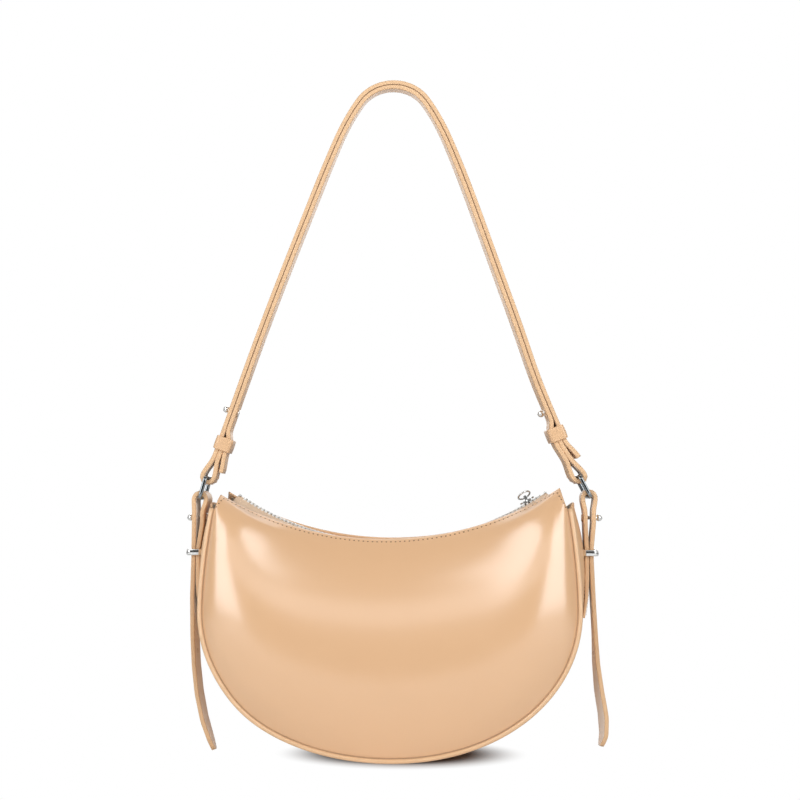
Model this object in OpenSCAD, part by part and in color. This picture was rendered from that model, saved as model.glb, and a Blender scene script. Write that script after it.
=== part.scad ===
// Half moon shoulder bag in smooth leather: two panels piped onto a gusset, a curved zip across the
// mouth, a side strap with ring, stud, metal keeper and hanging tail at each end, and a doubled
// shoulder strap. The origin is the middle of the flat patch that the bag rests on, +Z is up and
// the front faces -Y. Left and right are as seen from the front.

/* [Body] */
// Width over the side seams at the widest point
seam_w = 270.4; // [250:0.2:290]
// Height of the widest point
belly_z = 107; // [95:1:120]
// Height where the side seams end
seam_top_z = 176; // [168:1:180]
// How far each side seam draws in from the widest point to its top end
seam_draw_in = 5.8; // [3:0.2:8]
// Distance between the front and back seams at the bottom
seam_gap_low = 76; // [60:1:90]
// Distance between the front and back seams at their top ends
seam_gap_high = 44; // [38:1:56]
// How far each panel swells out past its seam
panel_swell = 6; // [2:0.5:12]
// Thickness of the panel and gusset leather
hide_t = 1.8; // [1.4:0.1:2.2]
// How far the gusset swells out past the seams
gusset_swell = 4; // [2:0.2:4.2]
// Diameter of the piping bead
bead_d = 3.2; // [2.8:0.1:3.6]
// Thickness of the lining
lining_t = 0.6; // [0.4:0.1:0.8]

/* [Mouth] */
// Height of the top edge at its middle
mouth_low_z = 154.4; // [150:0.2:158]
// Radius of the top edge in front view
mouth_r = 236.5; // [225:0.5:250]
// Width over the top corners
corner_w = 243; // [238:1:246]
// Gap between the two panels at the middle of the mouth
mouth_gap_mid = 16; // [15:0.5:20]
// Gap between the two panels at the top corners
mouth_gap_corner = 28; // [25:0.5:30]

/* [Zip] */
// Radius of the zip's curve
chain_r = 200; // [194:1:206]
// Height of the chain at its middle
chain_low_z = 153.2; // [152.6:0.1:153.4]
// Half the width that the chain spans
chain_half_w = 112; // [100:1:114]
// Thickness of the zip tape
tape_t = 0.5; // [0.3:0.1:0.6]
// Spacing of the teeth
tooth_pitch = 3; // [2.6:0.1:4]
// Length of a tooth along the zip
tooth_l = 1.6; // [1.2:0.1:2]
// Width of a tooth across the zip
tooth_w = 2.1; // [1.8:0.1:2.4]
// Thickness of a tooth
tooth_t = 2.2; // [1.8:0.1:2.6]
// Where the slider rests, measured from the middle of the mouth
slider_rest_x = 99; // [90:1:104]
// Length of the slider
slider_l = 11; // [8:0.5:12]
// Width of the slider
slider_w = 7.4; // [6.6:0.1:8]
// Thickness of the slider's plates
slider_plate_t = 1.2; // [1:0.1:1.4]
// Outer diameter of the ring puller
puller_d = 10.4; // [9:0.2:13]
// Diameter of the ring puller's wire
puller_wire_d = 1.3; // [1:0.1:1.5]
// Lean of the ring puller towards the front, from upright
puller_lean = 62; // [40:1:70]

/* [Side straps] */
// Width of every strap
strap_w = 19; // [16:0.5:19.4]
// Thickness of one side strap strand
side_t = 3.1; // [2.6:0.1:3.2]
// Height of the side studs, where the strap folds over to the front or back
stud_z = 168.8; // [166:0.2:171]
// Distance of the left stud's strand pair from the middle of the bag
stud_mid_left = 139.2; // [138.6:0.1:140.4]
// Distance of the right stud's strand pair from the middle of the bag
stud_mid_right = 141.2; // [140:0.1:142]
// Gap between the two strands at the studs
strand_gap = 0.8; // [0.6:0.1:1.2]
// Inner radius of the loop round the ring
side_loop_r = 3; // [2.8:0.1:3.4]
// Height of the metal keeper's middle
keeper_z = 144; // [141:0.5:147]
// Height where the sewn strand ends on the gusset
base_low_z = 98; // [90:1:104]
// Height of the tip of the left tail
tail_tip_left = 1.6; // [1:0.2:20]
// Height of the tip of the right tail
tail_tip_right = 7; // [1:0.2:20]

/* [Metal keepers] */
// Height of the metal keeper
metal_keeper_h = 4.5; // [3.6:0.1:5]
// Thickness of the metal keeper's band
metal_keeper_t = 1.3; // [1:0.1:1.4]
// Spare room in the metal keeper past the outer strand
metal_keeper_room = 1.9; // [1:0.1:2.4]

/* [Rings] */
// Diameter of the ring's wire
ring_wire_d = 2.8; // [2.4:0.1:2.9]
// Distance between the middles of the ring's upper and lower bars
ring_bar_gap = 15.7; // [15:0.1:17]
// Tilt of the left ring from upright
ring_tilt_left = 16; // [14:0.5:18]
// Tilt of the right ring from upright
ring_tilt_right = 23; // [21:0.5:25]
// Inner radius of the ring's corners
ring_corner_r = 1.2; // [1:0.1:1.4]

/* [Shoulder strap] */
// Height of the top of the strap
apex_z = 488.6; // [440:1:540]
// Height of the strap studs
strap_stud_z = 247; // [240:1:255]
// Radius of the strap over its top
arch_r = 32; // [28:0.5:36]
// Angle that the top curve turns through on each side
arch_turn = 55; // [50:1:58]
// Radius of the shoulders below the top curve
shoulder_r = 165; // [140:5:180]
// Angle from the top where the shoulders end
shoulder_turn = 66.5; // [65:0.5:67]
// Radius of the long easy curve into the straight legs
ease_r = 800; // [700:10:900]
// Slope of the straight legs from upright
leg_slope = 20.4; // [20:0.1:21]
// Thickness of one strap layer
strap_t = 3.1; // [2.6:0.1:3.2]
// Inner radius of the strap's loop round the ring
strap_loop_r = 2.8; // [2.7:0.1:3]
// Distance of the ring's bar below the stud, along the leg
stud_to_bar = 51.6; // [51:0.2:54]
// Distance of the left leather keeper's middle below the stud
keeper_drop_left = 26; // [20:0.2:28]
// Distance of the right leather keeper's middle below the stud
keeper_drop_right = 18.6; // [17:0.2:24]
// Length of the free strap end below the stud on the left
free_end_left = 45.2; // [42:0.2:46]
// Length of the free strap end below the stud on the right
free_end_right = 38.5; // [34:0.2:40]
// Share by which the left strap end leans outwards below the keeper
end_lean_left = 0.05; // [0:0.01:0.1]
// Share by which the right strap end leans outwards below the keeper
end_lean_right = 0.2; // [0.15:0.01:0.25]

/* [Leather keepers] */
// Height of the leather keeper along the strap
leather_keeper_h = 10; // [8:0.5:11]
// Thickness of the leather keeper's band
leather_keeper_t = 1.2; // [1:0.1:1.4]

/* [Studs] */
// Diameter of a stud's ball
ball_d = 5; // [4:0.1:5.2]
// Diameter of a stud's post
post_d = 2.5; // [2:0.1:2.8]
// Diameter of the screw plate behind a strap
plate_d = 6; // [5:0.1:6.4]
// Thickness of the screw plate
plate_t = 1; // [0.8:0.1:1.2]
// Diameter of the holes in the tails
tail_hole_d = 2.6; // [2:0.1:3]

/* [Pocket] */
// Width of the pocket inside
pocket_w = 110; // [80:5:130]
// Height of the pocket inside
pocket_h = 56; // [40:1:60]
// Depth of the pocket
pocket_depth = 2.4; // [2:0.1:3]

/* [Hidden] */
$fn = 48;

left = 0;
right = 1;

// Sizes that differ between the left and the right end, as pairs
stud_mid_x = [stud_mid_left, stud_mid_right];
tail_tip_z = [tail_tip_left, tail_tip_right];
ring_tilt = [ring_tilt_left, ring_tilt_right];
keeper_drop = [keeper_drop_left, keeper_drop_right];
free_end_drop = [free_end_left, free_end_right];
end_lean = [end_lean_left, end_lean_right];

// Clearance between sewn pieces, and between pieces that move on each other
seam_fit = 0.1;
slide_fit = 0.3;
post_fit = 0.08;
// Overrun of a cut past the faces it opens
over = 1;

// Numbers of faces along the seam, across the gusset, along the mouth, round the piping, along a
// bend, along the top curve and along each shoulder curve
seam_steps = 48;
gusset_steps = 6;
mouth_steps = 30;
bead_sides = 8;
curve_steps = 10;
arch_steps = 9;
shoulder_steps = 3;

// Exponents of the round bottom outline, of the draw in above it, of the taper in depth and of the
// gap between the panels along the mouth
round_power = 2.08;
draw_power = 1.8;
gap_power = 2.5;
mouth_gap_power = 1.5;
// Share of the seam that lies below the widest point, on each side
low_share = 0.76;
// Share of a step along the seam over which its direction is taken
probe_share = 0.5;
// Share of the gusset's swell that is lost at its top ends, and how late it goes
swell_loss_share = 0.5;
swell_loss_power = 2;
// How late the panel turns in towards the seam and towards the mouth
seam_turn_power = 4;
mouth_turn_power = 8;
corner_turn_power = 3;
// Where the rows of the panel lie between the seam and the mouth, as shares
row_shares = [0, 0.08, 0.25, 0.5, 0.7, 0.83, 0.92, 0.97, 1];

leather = [0.88, 0.70, 0.50];
leather_edge = [0.80, 0.60, 0.38];
lining_cloth = [0.72, 0.66, 0.58];
nickel = [0.82, 0.82, 0.83];
dark_chrome = [0.35, 0.36, 0.38];

function mix(a, b, s) = a + (b - a) * s;
function ease(s) = s * s * (3 - 2 * s);
function clamp01(s) = min(max(s, 0), 1);

// Height of the top edge at a distance x from the middle
function mouth_z(x) = mouth_low_z + mouth_r - sqrt(mouth_r * mouth_r - x * x);

// Height of the zip chain's middle at a distance x from the middle
function chain_z(x) = chain_low_z + chain_r - sqrt(chain_r * chain_r - x * x);

// Distance between the front and back seams at a height
function seam_gap(z) =
    mix(seam_gap_low, seam_gap_high, pow(clamp01(z / seam_top_z), gap_power));

// Gap between the two panels at the mouth, at a share u of the way to the corners
function mouth_gap(u) = mix(mouth_gap_mid, mouth_gap_corner, pow(abs(u), mouth_gap_power));

// Outer line of the seams in front view: u runs from -1 at the left end to 1 at the right end
function seam_line(u) =
    let (low = clamp01(abs(u) / low_share), high = clamp01((abs(u) - low_share) / (1 - low_share)))
    let (a = 90 * low, side = u < 0 ? -1 : 1)
    high > 0
        ? [side * (seam_w / 2 - seam_draw_in * pow(high, draw_power)), mix(belly_z, seam_top_z, high)]
        : [side * seam_w / 2 * pow(sin(a), 2 / round_power), belly_z * (1 - pow(cos(a), 2 / round_power))];

// The seam line moved inwards by a distance
function seam_pt(u, inset) =
    let (d = probe_share / seam_steps, a = seam_line(max(u - d, -1)), b = seam_line(min(u + d, 1)))
    let (t = (b - a) / norm(b - a))
    seam_line(u) + inset * [-t[1], t[0]];

// Distance of the gusset's middle from the middle of the bag, at a height above the widest point
function gusset_x(z) =
    let (high = clamp01((z - belly_z) / (seam_top_z - belly_z)))
    seam_w / 2 - seam_draw_in * pow(high, draw_power) + swell_at(z);

function swell_at(z) =
    let (high = clamp01((z - belly_z) / (seam_top_z - belly_z)))
    gusset_swell * (1 - swell_loss_share * pow(high, swell_loss_power));

// A wall between an outer and an inner grid of points, closed round its four sides
module wall(outer, inner) {
    rows = len(outer);
    cols = len(outer[0]);
    n = rows * cols;
    function at(r, c) = r * cols + c;
    points = concat([for (row = outer) for (p = row) p], [for (row = inner) for (p = row) p]);
    faces = concat(
        [for (r = [0:rows - 2]) for (c = [0:cols - 2])
            each [[at(r, c), at(r, c + 1), at(r + 1, c + 1)], [at(r, c), at(r + 1, c + 1), at(r + 1, c)]]],
        [for (r = [0:rows - 2]) for (c = [0:cols - 2])
            each [[n + at(r, c), n + at(r + 1, c + 1), n + at(r, c + 1)],
                  [n + at(r, c), n + at(r + 1, c), n + at(r + 1, c + 1)]]],
        [for (c = [0:cols - 2])
            each [[at(0, c), n + at(0, c), n + at(0, c + 1)], [at(0, c), n + at(0, c + 1), at(0, c + 1)]]],
        [for (c = [0:cols - 2])
            each [[at(rows - 1, c), n + at(rows - 1, c + 1), n + at(rows - 1, c)],
                  [at(rows - 1, c), at(rows - 1, c + 1), n + at(rows - 1, c + 1)]]],
        [for (r = [0:rows - 2])
            each [[at(r, 0), n + at(r + 1, 0), n + at(r, 0)], [at(r, 0), at(r + 1, 0), n + at(r + 1, 0)]]],
        [for (r = [0:rows - 2])
            each [[at(r, cols - 1), n + at(r, cols - 1), n + at(r + 1, cols - 1)],
                  [at(r, cols - 1), n + at(r + 1, cols - 1), at(r + 1, cols - 1)]]]
    );
    polyhedron(points, faces);
}

// Moves a grid of points along its surface normals
function unit(v) = v / norm(v);
function shifted(grid, d) =
    let (rows = len(grid), cols = len(grid[0]))
    [for (r = [0:rows - 1]) [for (c = [0:cols - 1])
        let (across = grid[r][min(c + 1, cols - 1)] - grid[r][max(c - 1, 0)])
        let (along = grid[min(r + 1, rows - 1)][c] - grid[max(r - 1, 0)][c])
        grid[r][c] + d * unit(cross(across, along))]];

// Front face of the front panel: rows from seam to mouth, columns from left to right
function panel_grid(inset, drop, steps) =
    [for (v = row_shares) [for (i = [0:steps])
        let (u = 2 * i / steps - 1)
        let (low = seam_pt(u, inset), w = u * (corner_w / 2 - drop))
        let (high = [w, mouth_z(w) - drop])
        let (low_y = seam_gap(low[1]) / 2)
        let (high_y = mouth_gap(u) / 2)
        let (turn = mix(mouth_turn_power, corner_turn_power, u * u))
        let (full_y = low_y + panel_swell * (1 - pow(abs(u), seam_turn_power)))
        let (y = full_y - (full_y - low_y) * pow(1 - v, seam_turn_power)
            - (full_y - high_y) * pow(v, turn))
        let (p = mix(low, high, v))
        [p[0], -y, p[1]]]];

// A leather panel of the front: its face, and the same face moved inwards by its thickness
panel_inset = bead_d + seam_fit;
module panel_shell() {
    face = panel_grid(panel_inset, 0, seam_steps);
    wall(shifted(face, -hide_t), face);
}

module panel_lining_shell() {
    face = shifted(panel_grid(panel_inset + hide_t, 2 * hide_t, seam_steps / 2), -hide_t - seam_fit);
    wall(shifted(face, -lining_t), face);
}

module back_side() { mirror([0, 1, 0]) children(); }

// A band round the bag between the seams, from an outer inset, closed to a thickness
function band_grid(inset, edge_room, lift, steps) =
    [for (j = [0:gusset_steps]) [for (i = [0:steps])
        let (u = 2 * i / steps - 1, v = 2 * j / gusset_steps - 1)
        let (base = seam_line(u))
        let (p = seam_pt(u, inset - (swell_at(base[1]) + seam_inset) * (1 - v * v)))
        let (y = v * (seam_gap(base[1]) / 2 - edge_room))
        [p[0], y, max(p[1], lift)]]];

seam_inset = 0.6;
module gusset_shell() {
    outer = band_grid(seam_inset, bead_d / 2 + seam_fit, 0, seam_steps);
    inner = band_grid(seam_inset + hide_t, bead_d / 2 + seam_fit, hide_t, seam_steps);
    wall(outer, inner);
}

module gusset_lining_shell() {
    deep = seam_inset + hide_t + seam_fit;
    room = bead_d / 2 + hide_t;
    outer = band_grid(deep, room, hide_t + seam_fit, seam_steps / 2);
    inner = band_grid(deep + lining_t, room, hide_t + seam_fit + lining_t, seam_steps / 2);
    wall(outer, inner);
}

// A round bead that follows the seam line of the front
module bead() {
    r = bead_d / 2;
    rings = [for (i = [0:seam_steps])
        let (u = 2 * i / seam_steps - 1, c = seam_pt(u, r), o = seam_pt(u, 0))
        let (side = unit(o - c), lift = max(r - c[1], 0))
        [for (k = [0:bead_sides - 1])
            let (a = 360 * k / bead_sides)
            [c[0] + r * cos(a) * side[0], r * sin(a) - seam_gap(c[1]) / 2,
             c[1] + lift + r * cos(a) * side[1]]]];
    n = len(rings);
    points = [for (ring = rings) for (p = ring) p];
    faces = concat(
        [for (i = [0:n - 2]) for (k = [0:bead_sides - 1])
            let (a = i * bead_sides + k, b = i * bead_sides + (k + 1) % bead_sides)
            each [[a, b + bead_sides, b], [a, a + bead_sides, b + bead_sides]]],
        [[for (k = [0:bead_sides - 1]) k]],
        [[for (k = [bead_sides - 1:-1:0]) (n - 1) * bead_sides + k]]
    );
    polyhedron(points, faces);
}

module front_panel() { color(leather) panel_shell(); }
module back_panel() { color(leather) back_side() panel_shell(); }
module gusset() { color(leather) gusset_shell(); }
module front_piping() { color(leather_edge) bead(); }
module back_piping() { color(leather_edge) back_side() bead(); }
module front_lining() { color(lining_cloth) panel_lining_shell(); }
module back_lining() { color(lining_cloth) back_side() panel_lining_shell(); }
module gusset_lining() { color(lining_cloth) gusset_lining_shell(); }

// Slip pocket on the back lining, open at its top
pocket_low_z = 46;
pocket_corner_r = 8;
pocket_edge = 3;
pocket_room = 3;
module pocket_outline(inset) {
    offset(-inset) offset(pocket_corner_r) offset(-pocket_corner_r)
        translate([-pocket_w / 2, pocket_low_z]) square([pocket_w, pocket_h]);
}
module inner_pocket() {
    back_y = seam_gap_low / 2 + panel_swell - hide_t - lining_t - pocket_room;
    color(lining_cloth) translate([0, back_y, 0]) rotate([90, 0, 0]) difference() {
        linear_extrude(pocket_depth) pocket_outline(0);
        translate([0, 0, -over]) linear_extrude(pocket_depth - lining_t + over) union() {
            pocket_outline(pocket_edge);
            translate([-pocket_w / 2 + pocket_edge, pocket_low_z + pocket_h / 2])
                square([pocket_w - 2 * pocket_edge, pocket_h]);
        }
    }
}

// Zip: everything on it turns about the middle of the chain's curve
chain_turn = asin(chain_half_w / chain_r);
tooth_gap = 1.1;
tape_y = tooth_gap / 2 + tooth_w;
module on_chain(turn) {
    translate([0, 0, chain_low_z + chain_r]) rotate([0, -turn, 0]) translate([0, 0, -chain_r]) children();
}

// Tape from the teeth to under the panel's edge
tape_tuck = 1.6;
tape_drop = 3.3;
function tape_grid(lift) =
    [for (j = [0:1]) [for (i = [0:mouth_steps])
        let (w = 2 * i / mouth_steps - 1, x = w * chain_half_w)
        let (tuck = mix(tape_tuck, -hide_t - seam_fit, pow(w, 4)))
        let (low = mouth_z(x) - tape_drop, y = mouth_gap(2 * x / corner_w) / 2 + tuck)
        [x, -mix(tape_y + seam_fit, y, j), mix(chain_z(x), low, j) + lift]]];
module tape() { wall(tape_grid(tape_t / 2), tape_grid(-tape_t / 2)); }
module zip_tape_front() { color(lining_cloth) tape(); }
module zip_tape_back() { color(lining_cloth) back_side() tape(); }

module tooth_row(shift) {
    pitch_turn = tooth_pitch / chain_r * 180 / PI;
    count = floor(chain_turn / pitch_turn) - 1;
    for (k = [-count:count - 1]) on_chain((k + shift) * pitch_turn)
        translate([-tooth_l / 2, -tape_y, -tooth_t / 2]) cube([tooth_l, tooth_w, tooth_t]);
}
module zip_teeth_front() { color(nickel) tooth_row(0.25); }
module zip_teeth_back() { color(nickel) back_side() tooth_row(0.75); }

module zip_end_stops() {
    color(nickel) for (side = [-1, 1]) for (face = [-1, 1])
        on_chain(side * (chain_turn - tooth_pitch / chain_r * 90 / PI))
            translate([-tooth_l / 2, face > 0 ? tooth_gap / 2 : -tape_y, -tooth_t / 2])
                cube([tooth_l, tooth_w, tooth_t]);
}

// Slider: a plate over and a plate under the chain, joined by a thin neck between the teeth
neck_t = 0.5;
nose_share = 1.06;
lug_h = 3.4;
lug_l = 1.8;
lug_w = 4;
puller_bore_d = puller_wire_d + 2 * slide_fit;
plate_low_z = tooth_t / 2 + slide_fit;
lug_bore_z = plate_low_z + slider_plate_t + lug_h / 2;
module slider_plate(w) {
    intersection() {
        translate([-slider_l / 2, -w / 2, 0]) cube([slider_l, w, slider_plate_t]);
        union() {
            translate([-slider_l / 2, -w / 4, 0]) cube([slider_l, w / 2, slider_plate_t]);
            for (end = [-1, 1]) translate([end * (slider_l - w) / 2, 0, 0])
                cylinder(h = slider_plate_t, d = nose_share * w);
        }
    }
}
module zip_slider() {
    color(dark_chrome) on_chain(asin(slider_rest_x / chain_r)) difference() {
        union() {
            translate([0, 0, plate_low_z]) slider_plate(slider_w);
            translate([0, 0, -plate_low_z - slider_plate_t]) slider_plate(tape_y * 2);
            translate([-slider_l / 4, -neck_t / 2, -plate_low_z - slider_plate_t / 2])
                cube([slider_l / 2, neck_t, 2 * plate_low_z + slider_plate_t]);
            translate([-lug_l / 2, -lug_w / 2, plate_low_z + slider_plate_t / 2])
                cube([lug_l, lug_w, lug_h + slider_plate_t / 2]);
        }
        translate([-lug_l, 0, lug_bore_z]) rotate([0, 90, 0]) cylinder(h = 2 * lug_l, d = puller_bore_d);
    }
}
module zip_puller() {
    ring_r = (puller_d - puller_wire_d) / 2;
    color(dark_chrome) on_chain(asin(slider_rest_x / chain_r)) translate([0, 0, lug_bore_z])
        rotate([puller_lean, 0, 0]) translate([0, 0, ring_r]) rotate([90, 0, 0])
            rotate_extrude() translate([ring_r, 0]) circle(d = puller_wire_d);
}

// Straps: a strip of even thickness along a path in front view, as wide in depth as the strap
function beside(path, d) =
    [for (i = [0:len(path) - 1])
        let (t = unit(path[min(i + 1, len(path) - 1)] - path[max(i - 1, 0)]))
        path[i] + d * [-t[1], t[0]]];
function reversed(list) = [for (i = [len(list) - 1:-1:0]) list[i]];
module strip(path, t) { polygon(concat(beside(path, t / 2), reversed(beside(path, -t / 2)))); }
module across(w) { rotate([90, 0, 0]) linear_extrude(w, center = true) children(); }
module on_side(side) {
    if (side == left) mirror([1, 0, 0]) children();
    else children();
}

// Leg of the shoulder strap on the right. A place on it is a distance in from the outer face of
// the outer layer, and a height along the leg above the stud's level.
leg_down = [sin(leg_slope), -cos(leg_slope)];
leg_in = [-cos(leg_slope), -sin(leg_slope)];
arch_mid = [0, apex_z - arch_r];
function arch_dir(a) = [sin(a), cos(a)];
shoulder_mid = arch_mid + (arch_r - shoulder_r) * arch_dir(arch_turn);
ease_mid = shoulder_mid + (shoulder_r - ease_r) * arch_dir(shoulder_turn);
leg_top = ease_mid + ease_r * arch_dir(90 - leg_slope);
leg_ref = leg_top + leg_down * (leg_top[1] - strap_stud_z) / cos(leg_slope);
lean_room = 3;
function lean_from(side) = -keeper_drop[side] - leather_keeper_h / 2 - lean_room;
function leg_pt(side, in, h) =
    leg_ref - leg_down * h + leg_in * (in - end_lean[side] * max(lean_from(side) - h, 0));

// Half of the arch at a distance in from its outer face, from the top down to the straight leg
function half_arch(in) = concat(
    [for (i = [0:arch_steps]) let (a = arch_turn * i / arch_steps)
        arch_mid + (arch_r - in) * arch_dir(a)],
    [for (i = [1:shoulder_steps]) let (a = mix(arch_turn, shoulder_turn, i / shoulder_steps))
        shoulder_mid + (shoulder_r - in) * arch_dir(a)],
    [for (i = [1:shoulder_steps]) let (a = mix(shoulder_turn, 90 - leg_slope, i / shoulder_steps))
        ease_mid + (ease_r - in) * arch_dir(a)]
);
function flipped(list) = [for (p = list) [-p[0], p[1]]];

// Layers are counted from the outer face: the first, second and third strap thickness
layer_fit = 0.1;
layer = strap_t + layer_fit;
function layer_mid(n) = strap_t / 2 + n * layer;

// The loop round the ring's upper bar, in leg places: down one strand, round and up the other
loop_open = 15;
loop_mid_r = strap_loop_r + strap_t / 2;
loop_lift = 0.56;
loop_h = loop_lift - stud_to_bar;
loop_top_h = loop_h + loop_open;
function loop_places(from_in, to_in) =
    let (mid = (from_in + to_in) / 2, way = from_in < to_in ? -1 : 1)
    concat(
        [for (i = [0:curve_steps]) let (s = i / curve_steps)
            [mix(from_in, mid + way * loop_mid_r, ease(s)), mix(loop_top_h, loop_h, s)]],
        [for (i = [1:curve_steps - 1]) let (a = 180 * i / curve_steps)
            [mid + way * loop_mid_r * cos(a), loop_h - loop_mid_r * sin(a)]],
        [for (i = [curve_steps:-1:0]) let (s = i / curve_steps)
            [mix(to_in, mid - way * loop_mid_r, ease(s)), mix(loop_top_h, loop_h, s)]]
    );
function on_leg(side, places) = [for (p = places) leg_pt(side, p[0], p[1])];

// A straight run of one layer from one height on the leg towards another, and a strand that runs
// down to the loop past the place where the strap starts to lean outwards
run_steps = 4;
strand_drop = 8;
function run(in, from_h, to_h) = [for (i = [0:run_steps - 1]) [in, mix(from_h, to_h, i / run_steps)]];
function strand(side, in, from_h) =
    concat(run(in, from_h, lean_from(side)), run(in, lean_from(side), loop_top_h));

// The step where the inner layer moves in, to make room for the folded end
step_l = 9;
step_room = 1;
function fold_end_h(side) = step_room - keeper_drop[side];
function step_places(side) =
    [for (i = [0:curve_steps / 2]) let (s = 2 * i / curve_steps)
        [mix(layer_mid(1), layer_mid(2), ease(s)), fold_end_h(side) + step_room + step_l * (1 - s)]];

bar_down = 0.56;
function upper_bar(side) =
    leg_pt(side, side == left ? (layer_mid(0) + layer_mid(1)) / 2 : (layer_mid(1) + layer_mid(2)) / 2,
        loop_h - bar_down);

// A round hole through both layers at the stud's level
module strap_stud_hole(side, d) {
    on_side(side) translate([leg_ref[0], 0, leg_ref[1]]) rotate([0, 90 - leg_slope, 0])
        translate([0, 0, -3 * layer]) cylinder(h = 6 * layer, d = d);
}

// The free end of a layer, which bends away from the loop beside it
free_end_flare = [2.6, -1];
function free_end(side, in) =
    let (from_h = -keeper_drop[side] - leather_keeper_h / 2)
    [for (i = [0:curve_steps]) let (s = i / curve_steps)
        [in + free_end_flare[side] * ease(s), mix(from_h, -free_end_drop[side], s)]];

module shoulder_strap_outer() {
    path = concat(
        on_leg(right, reversed(free_end(right, layer_mid(0)))),
        reversed(half_arch(layer_mid(0))),
        flipped([for (i = [1:len(half_arch(0)) - 1]) half_arch(layer_mid(0))[i]]),
        flipped(on_leg(left, concat(
            strand(left, layer_mid(0), -strand_drop),
            loop_places(layer_mid(0), layer_mid(1)),
            reversed(strand(left, layer_mid(1), fold_end_h(left)))
        )))
    );
    color(leather) difference() {
        across(strap_w) strip(path, strap_t);
        for (side = [left, right]) strap_stud_hole(side, post_d + 2 * post_fit);
    }
}

module shoulder_strap_inner() {
    path = concat(
        on_leg(right, concat(
            strand(right, layer_mid(1), fold_end_h(right)),
            reversed(loop_places(layer_mid(2), layer_mid(1))),
            reversed(strand(right, layer_mid(2), fold_end_h(right))),
            reversed(step_places(right))
        )),
        reversed(half_arch(layer_mid(1))),
        flipped([for (i = [1:len(half_arch(0)) - 1]) half_arch(layer_mid(1))[i]]),
        flipped(on_leg(left, concat(step_places(left), free_end(left, layer_mid(2)))))
    );
    color(leather) difference() {
        across(strap_w) strip(path, strap_t);
        for (side = [left, right]) strap_stud_hole(side, post_d + 2 * post_fit);
    }
}

// A stud that points along +X from the outer face of the strands it holds
module stud(grip) {
    translate([ball_d / 2 + seam_fit, 0, 0]) sphere(d = ball_d);
    rotate([0, -90, 0]) translate([0, 0, -ball_d / 2]) cylinder(h = grip + ball_d / 2, d = post_d);
}
module screw_plate(grip) {
    translate([-grip - plate_t - seam_fit / 2, 0, 0]) rotate([0, 90, 0]) cylinder(h = plate_t, d = plate_d);
}

// The left strap stud's ball is outside the strap, and the right one's is inside
strap_grip = 2 * strap_t + layer_fit + seam_fit;
module at_strap_stud(side) {
    on_side(side) translate([leg_ref[0], 0, leg_ref[1]]) rotate([0, -leg_slope, 0])
        if (side == left) children();
        else translate([-strap_grip, 0, 0]) mirror([1, 0, 0]) children();
}
module strap_stud_left() { color(nickel) at_strap_stud(left) stud(strap_grip); }
module strap_stud_right() { color(nickel) at_strap_stud(right) stud(strap_grip); }
module strap_stud_screws() {
    color(nickel) for (side = [left, right]) at_strap_stud(side) screw_plate(strap_grip);
}

module leather_keeper(side) {
    inner = 3 * strap_t + 2 * layer_fit + 2 * slide_fit;
    mid = leg_pt(side, layer_mid(1), -keeper_drop[side]);
    color(leather) on_side(side) translate([mid[0], 0, mid[1]]) rotate([0, -leg_slope, 0]) difference() {
        band(inner + 2 * leather_keeper_t, strap_w + 2 * slide_fit + 2 * leather_keeper_t,
            leather_keeper_h, leather_keeper_t);
        band(inner, strap_w + 2 * slide_fit, leather_keeper_h + 2 * over, seam_fit);
    }
}
module leather_keeper_left() { leather_keeper(left); }
module leather_keeper_right() { leather_keeper(right); }

// An upright block with rounded upright edges
module band(x, y, h, r) {
    translate([0, 0, -h / 2]) union() {
        translate([-x / 2 + r, -y / 2, 0]) cube([x - 2 * r, y, h]);
        translate([-x / 2, -y / 2 + r, 0]) cube([x, y - 2 * r, h]);
        for (sx = [-1, 1]) for (sy = [-1, 1])
            translate([sx * (x / 2 - r), sy * (y / 2 - r), 0]) cylinder(h = h, r = r);
    }
}

// Rings: two bars across the bag, two upright bars and four corners
ring_clear = 1.3;
ring_inner_w = strap_w + 2 * ring_corner_r + 2 * slide_fit;
function lower_bar(side) =
    upper_bar(side) + ring_bar_gap * [sin(ring_tilt[side]), -cos(ring_tilt[side])];
module ring(side) {
    bend_r = ring_corner_r + ring_wire_d / 2;
    half_w = ring_inner_w / 2 + ring_wire_d / 2 - bend_r;
    low = lower_bar(side);
    color(dark_chrome) on_side(side) translate([low[0], 0, low[1]]) rotate([0, -ring_tilt[side], 0]) {
        for (z = [0, ring_bar_gap])
            translate([0, half_w, z]) rotate([90, 0, 0]) cylinder(h = 2 * half_w, d = ring_wire_d);
        for (back = [0, 1]) mirror([0, back, 0]) {
            translate([0, half_w + bend_r, bend_r])
                cylinder(h = ring_bar_gap - 2 * bend_r, d = ring_wire_d);
            for (low_end = [0, 1])
                translate([0, half_w, low_end ? bend_r : ring_bar_gap - bend_r])
                    mirror([0, 0, low_end]) rotate([0, -90, 0])
                        rotate_extrude(angle = 90) translate([bend_r, 0]) circle(d = ring_wire_d);
        }
    }
}
module ring_left() { ring(left); }
module ring_right() { ring(right); }

// Side straps in front view on the right: the strand pair at the stud, the keeper and the tail
strand_off = (side_t + strand_gap) / 2;
keeper_fit = 0.2;
function keeper_in_x() = gusset_x(keeper_z) + keeper_fit;
keeper_base_x = keeper_in_x() + metal_keeper_t + keeper_fit + side_t / 2;
keeper_return_x = keeper_base_x + side_t + keeper_fit;
side_loop_mid_r = side_loop_r + side_t / 2;
bar_lift = 0.84;
tail_room = 0.5;
held_z = keeper_z + metal_keeper_h / 2 + slide_fit;
tail_pin_z = keeper_z - metal_keeper_h / 2 - slide_fit - side_t / 2 - tail_room;

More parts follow.
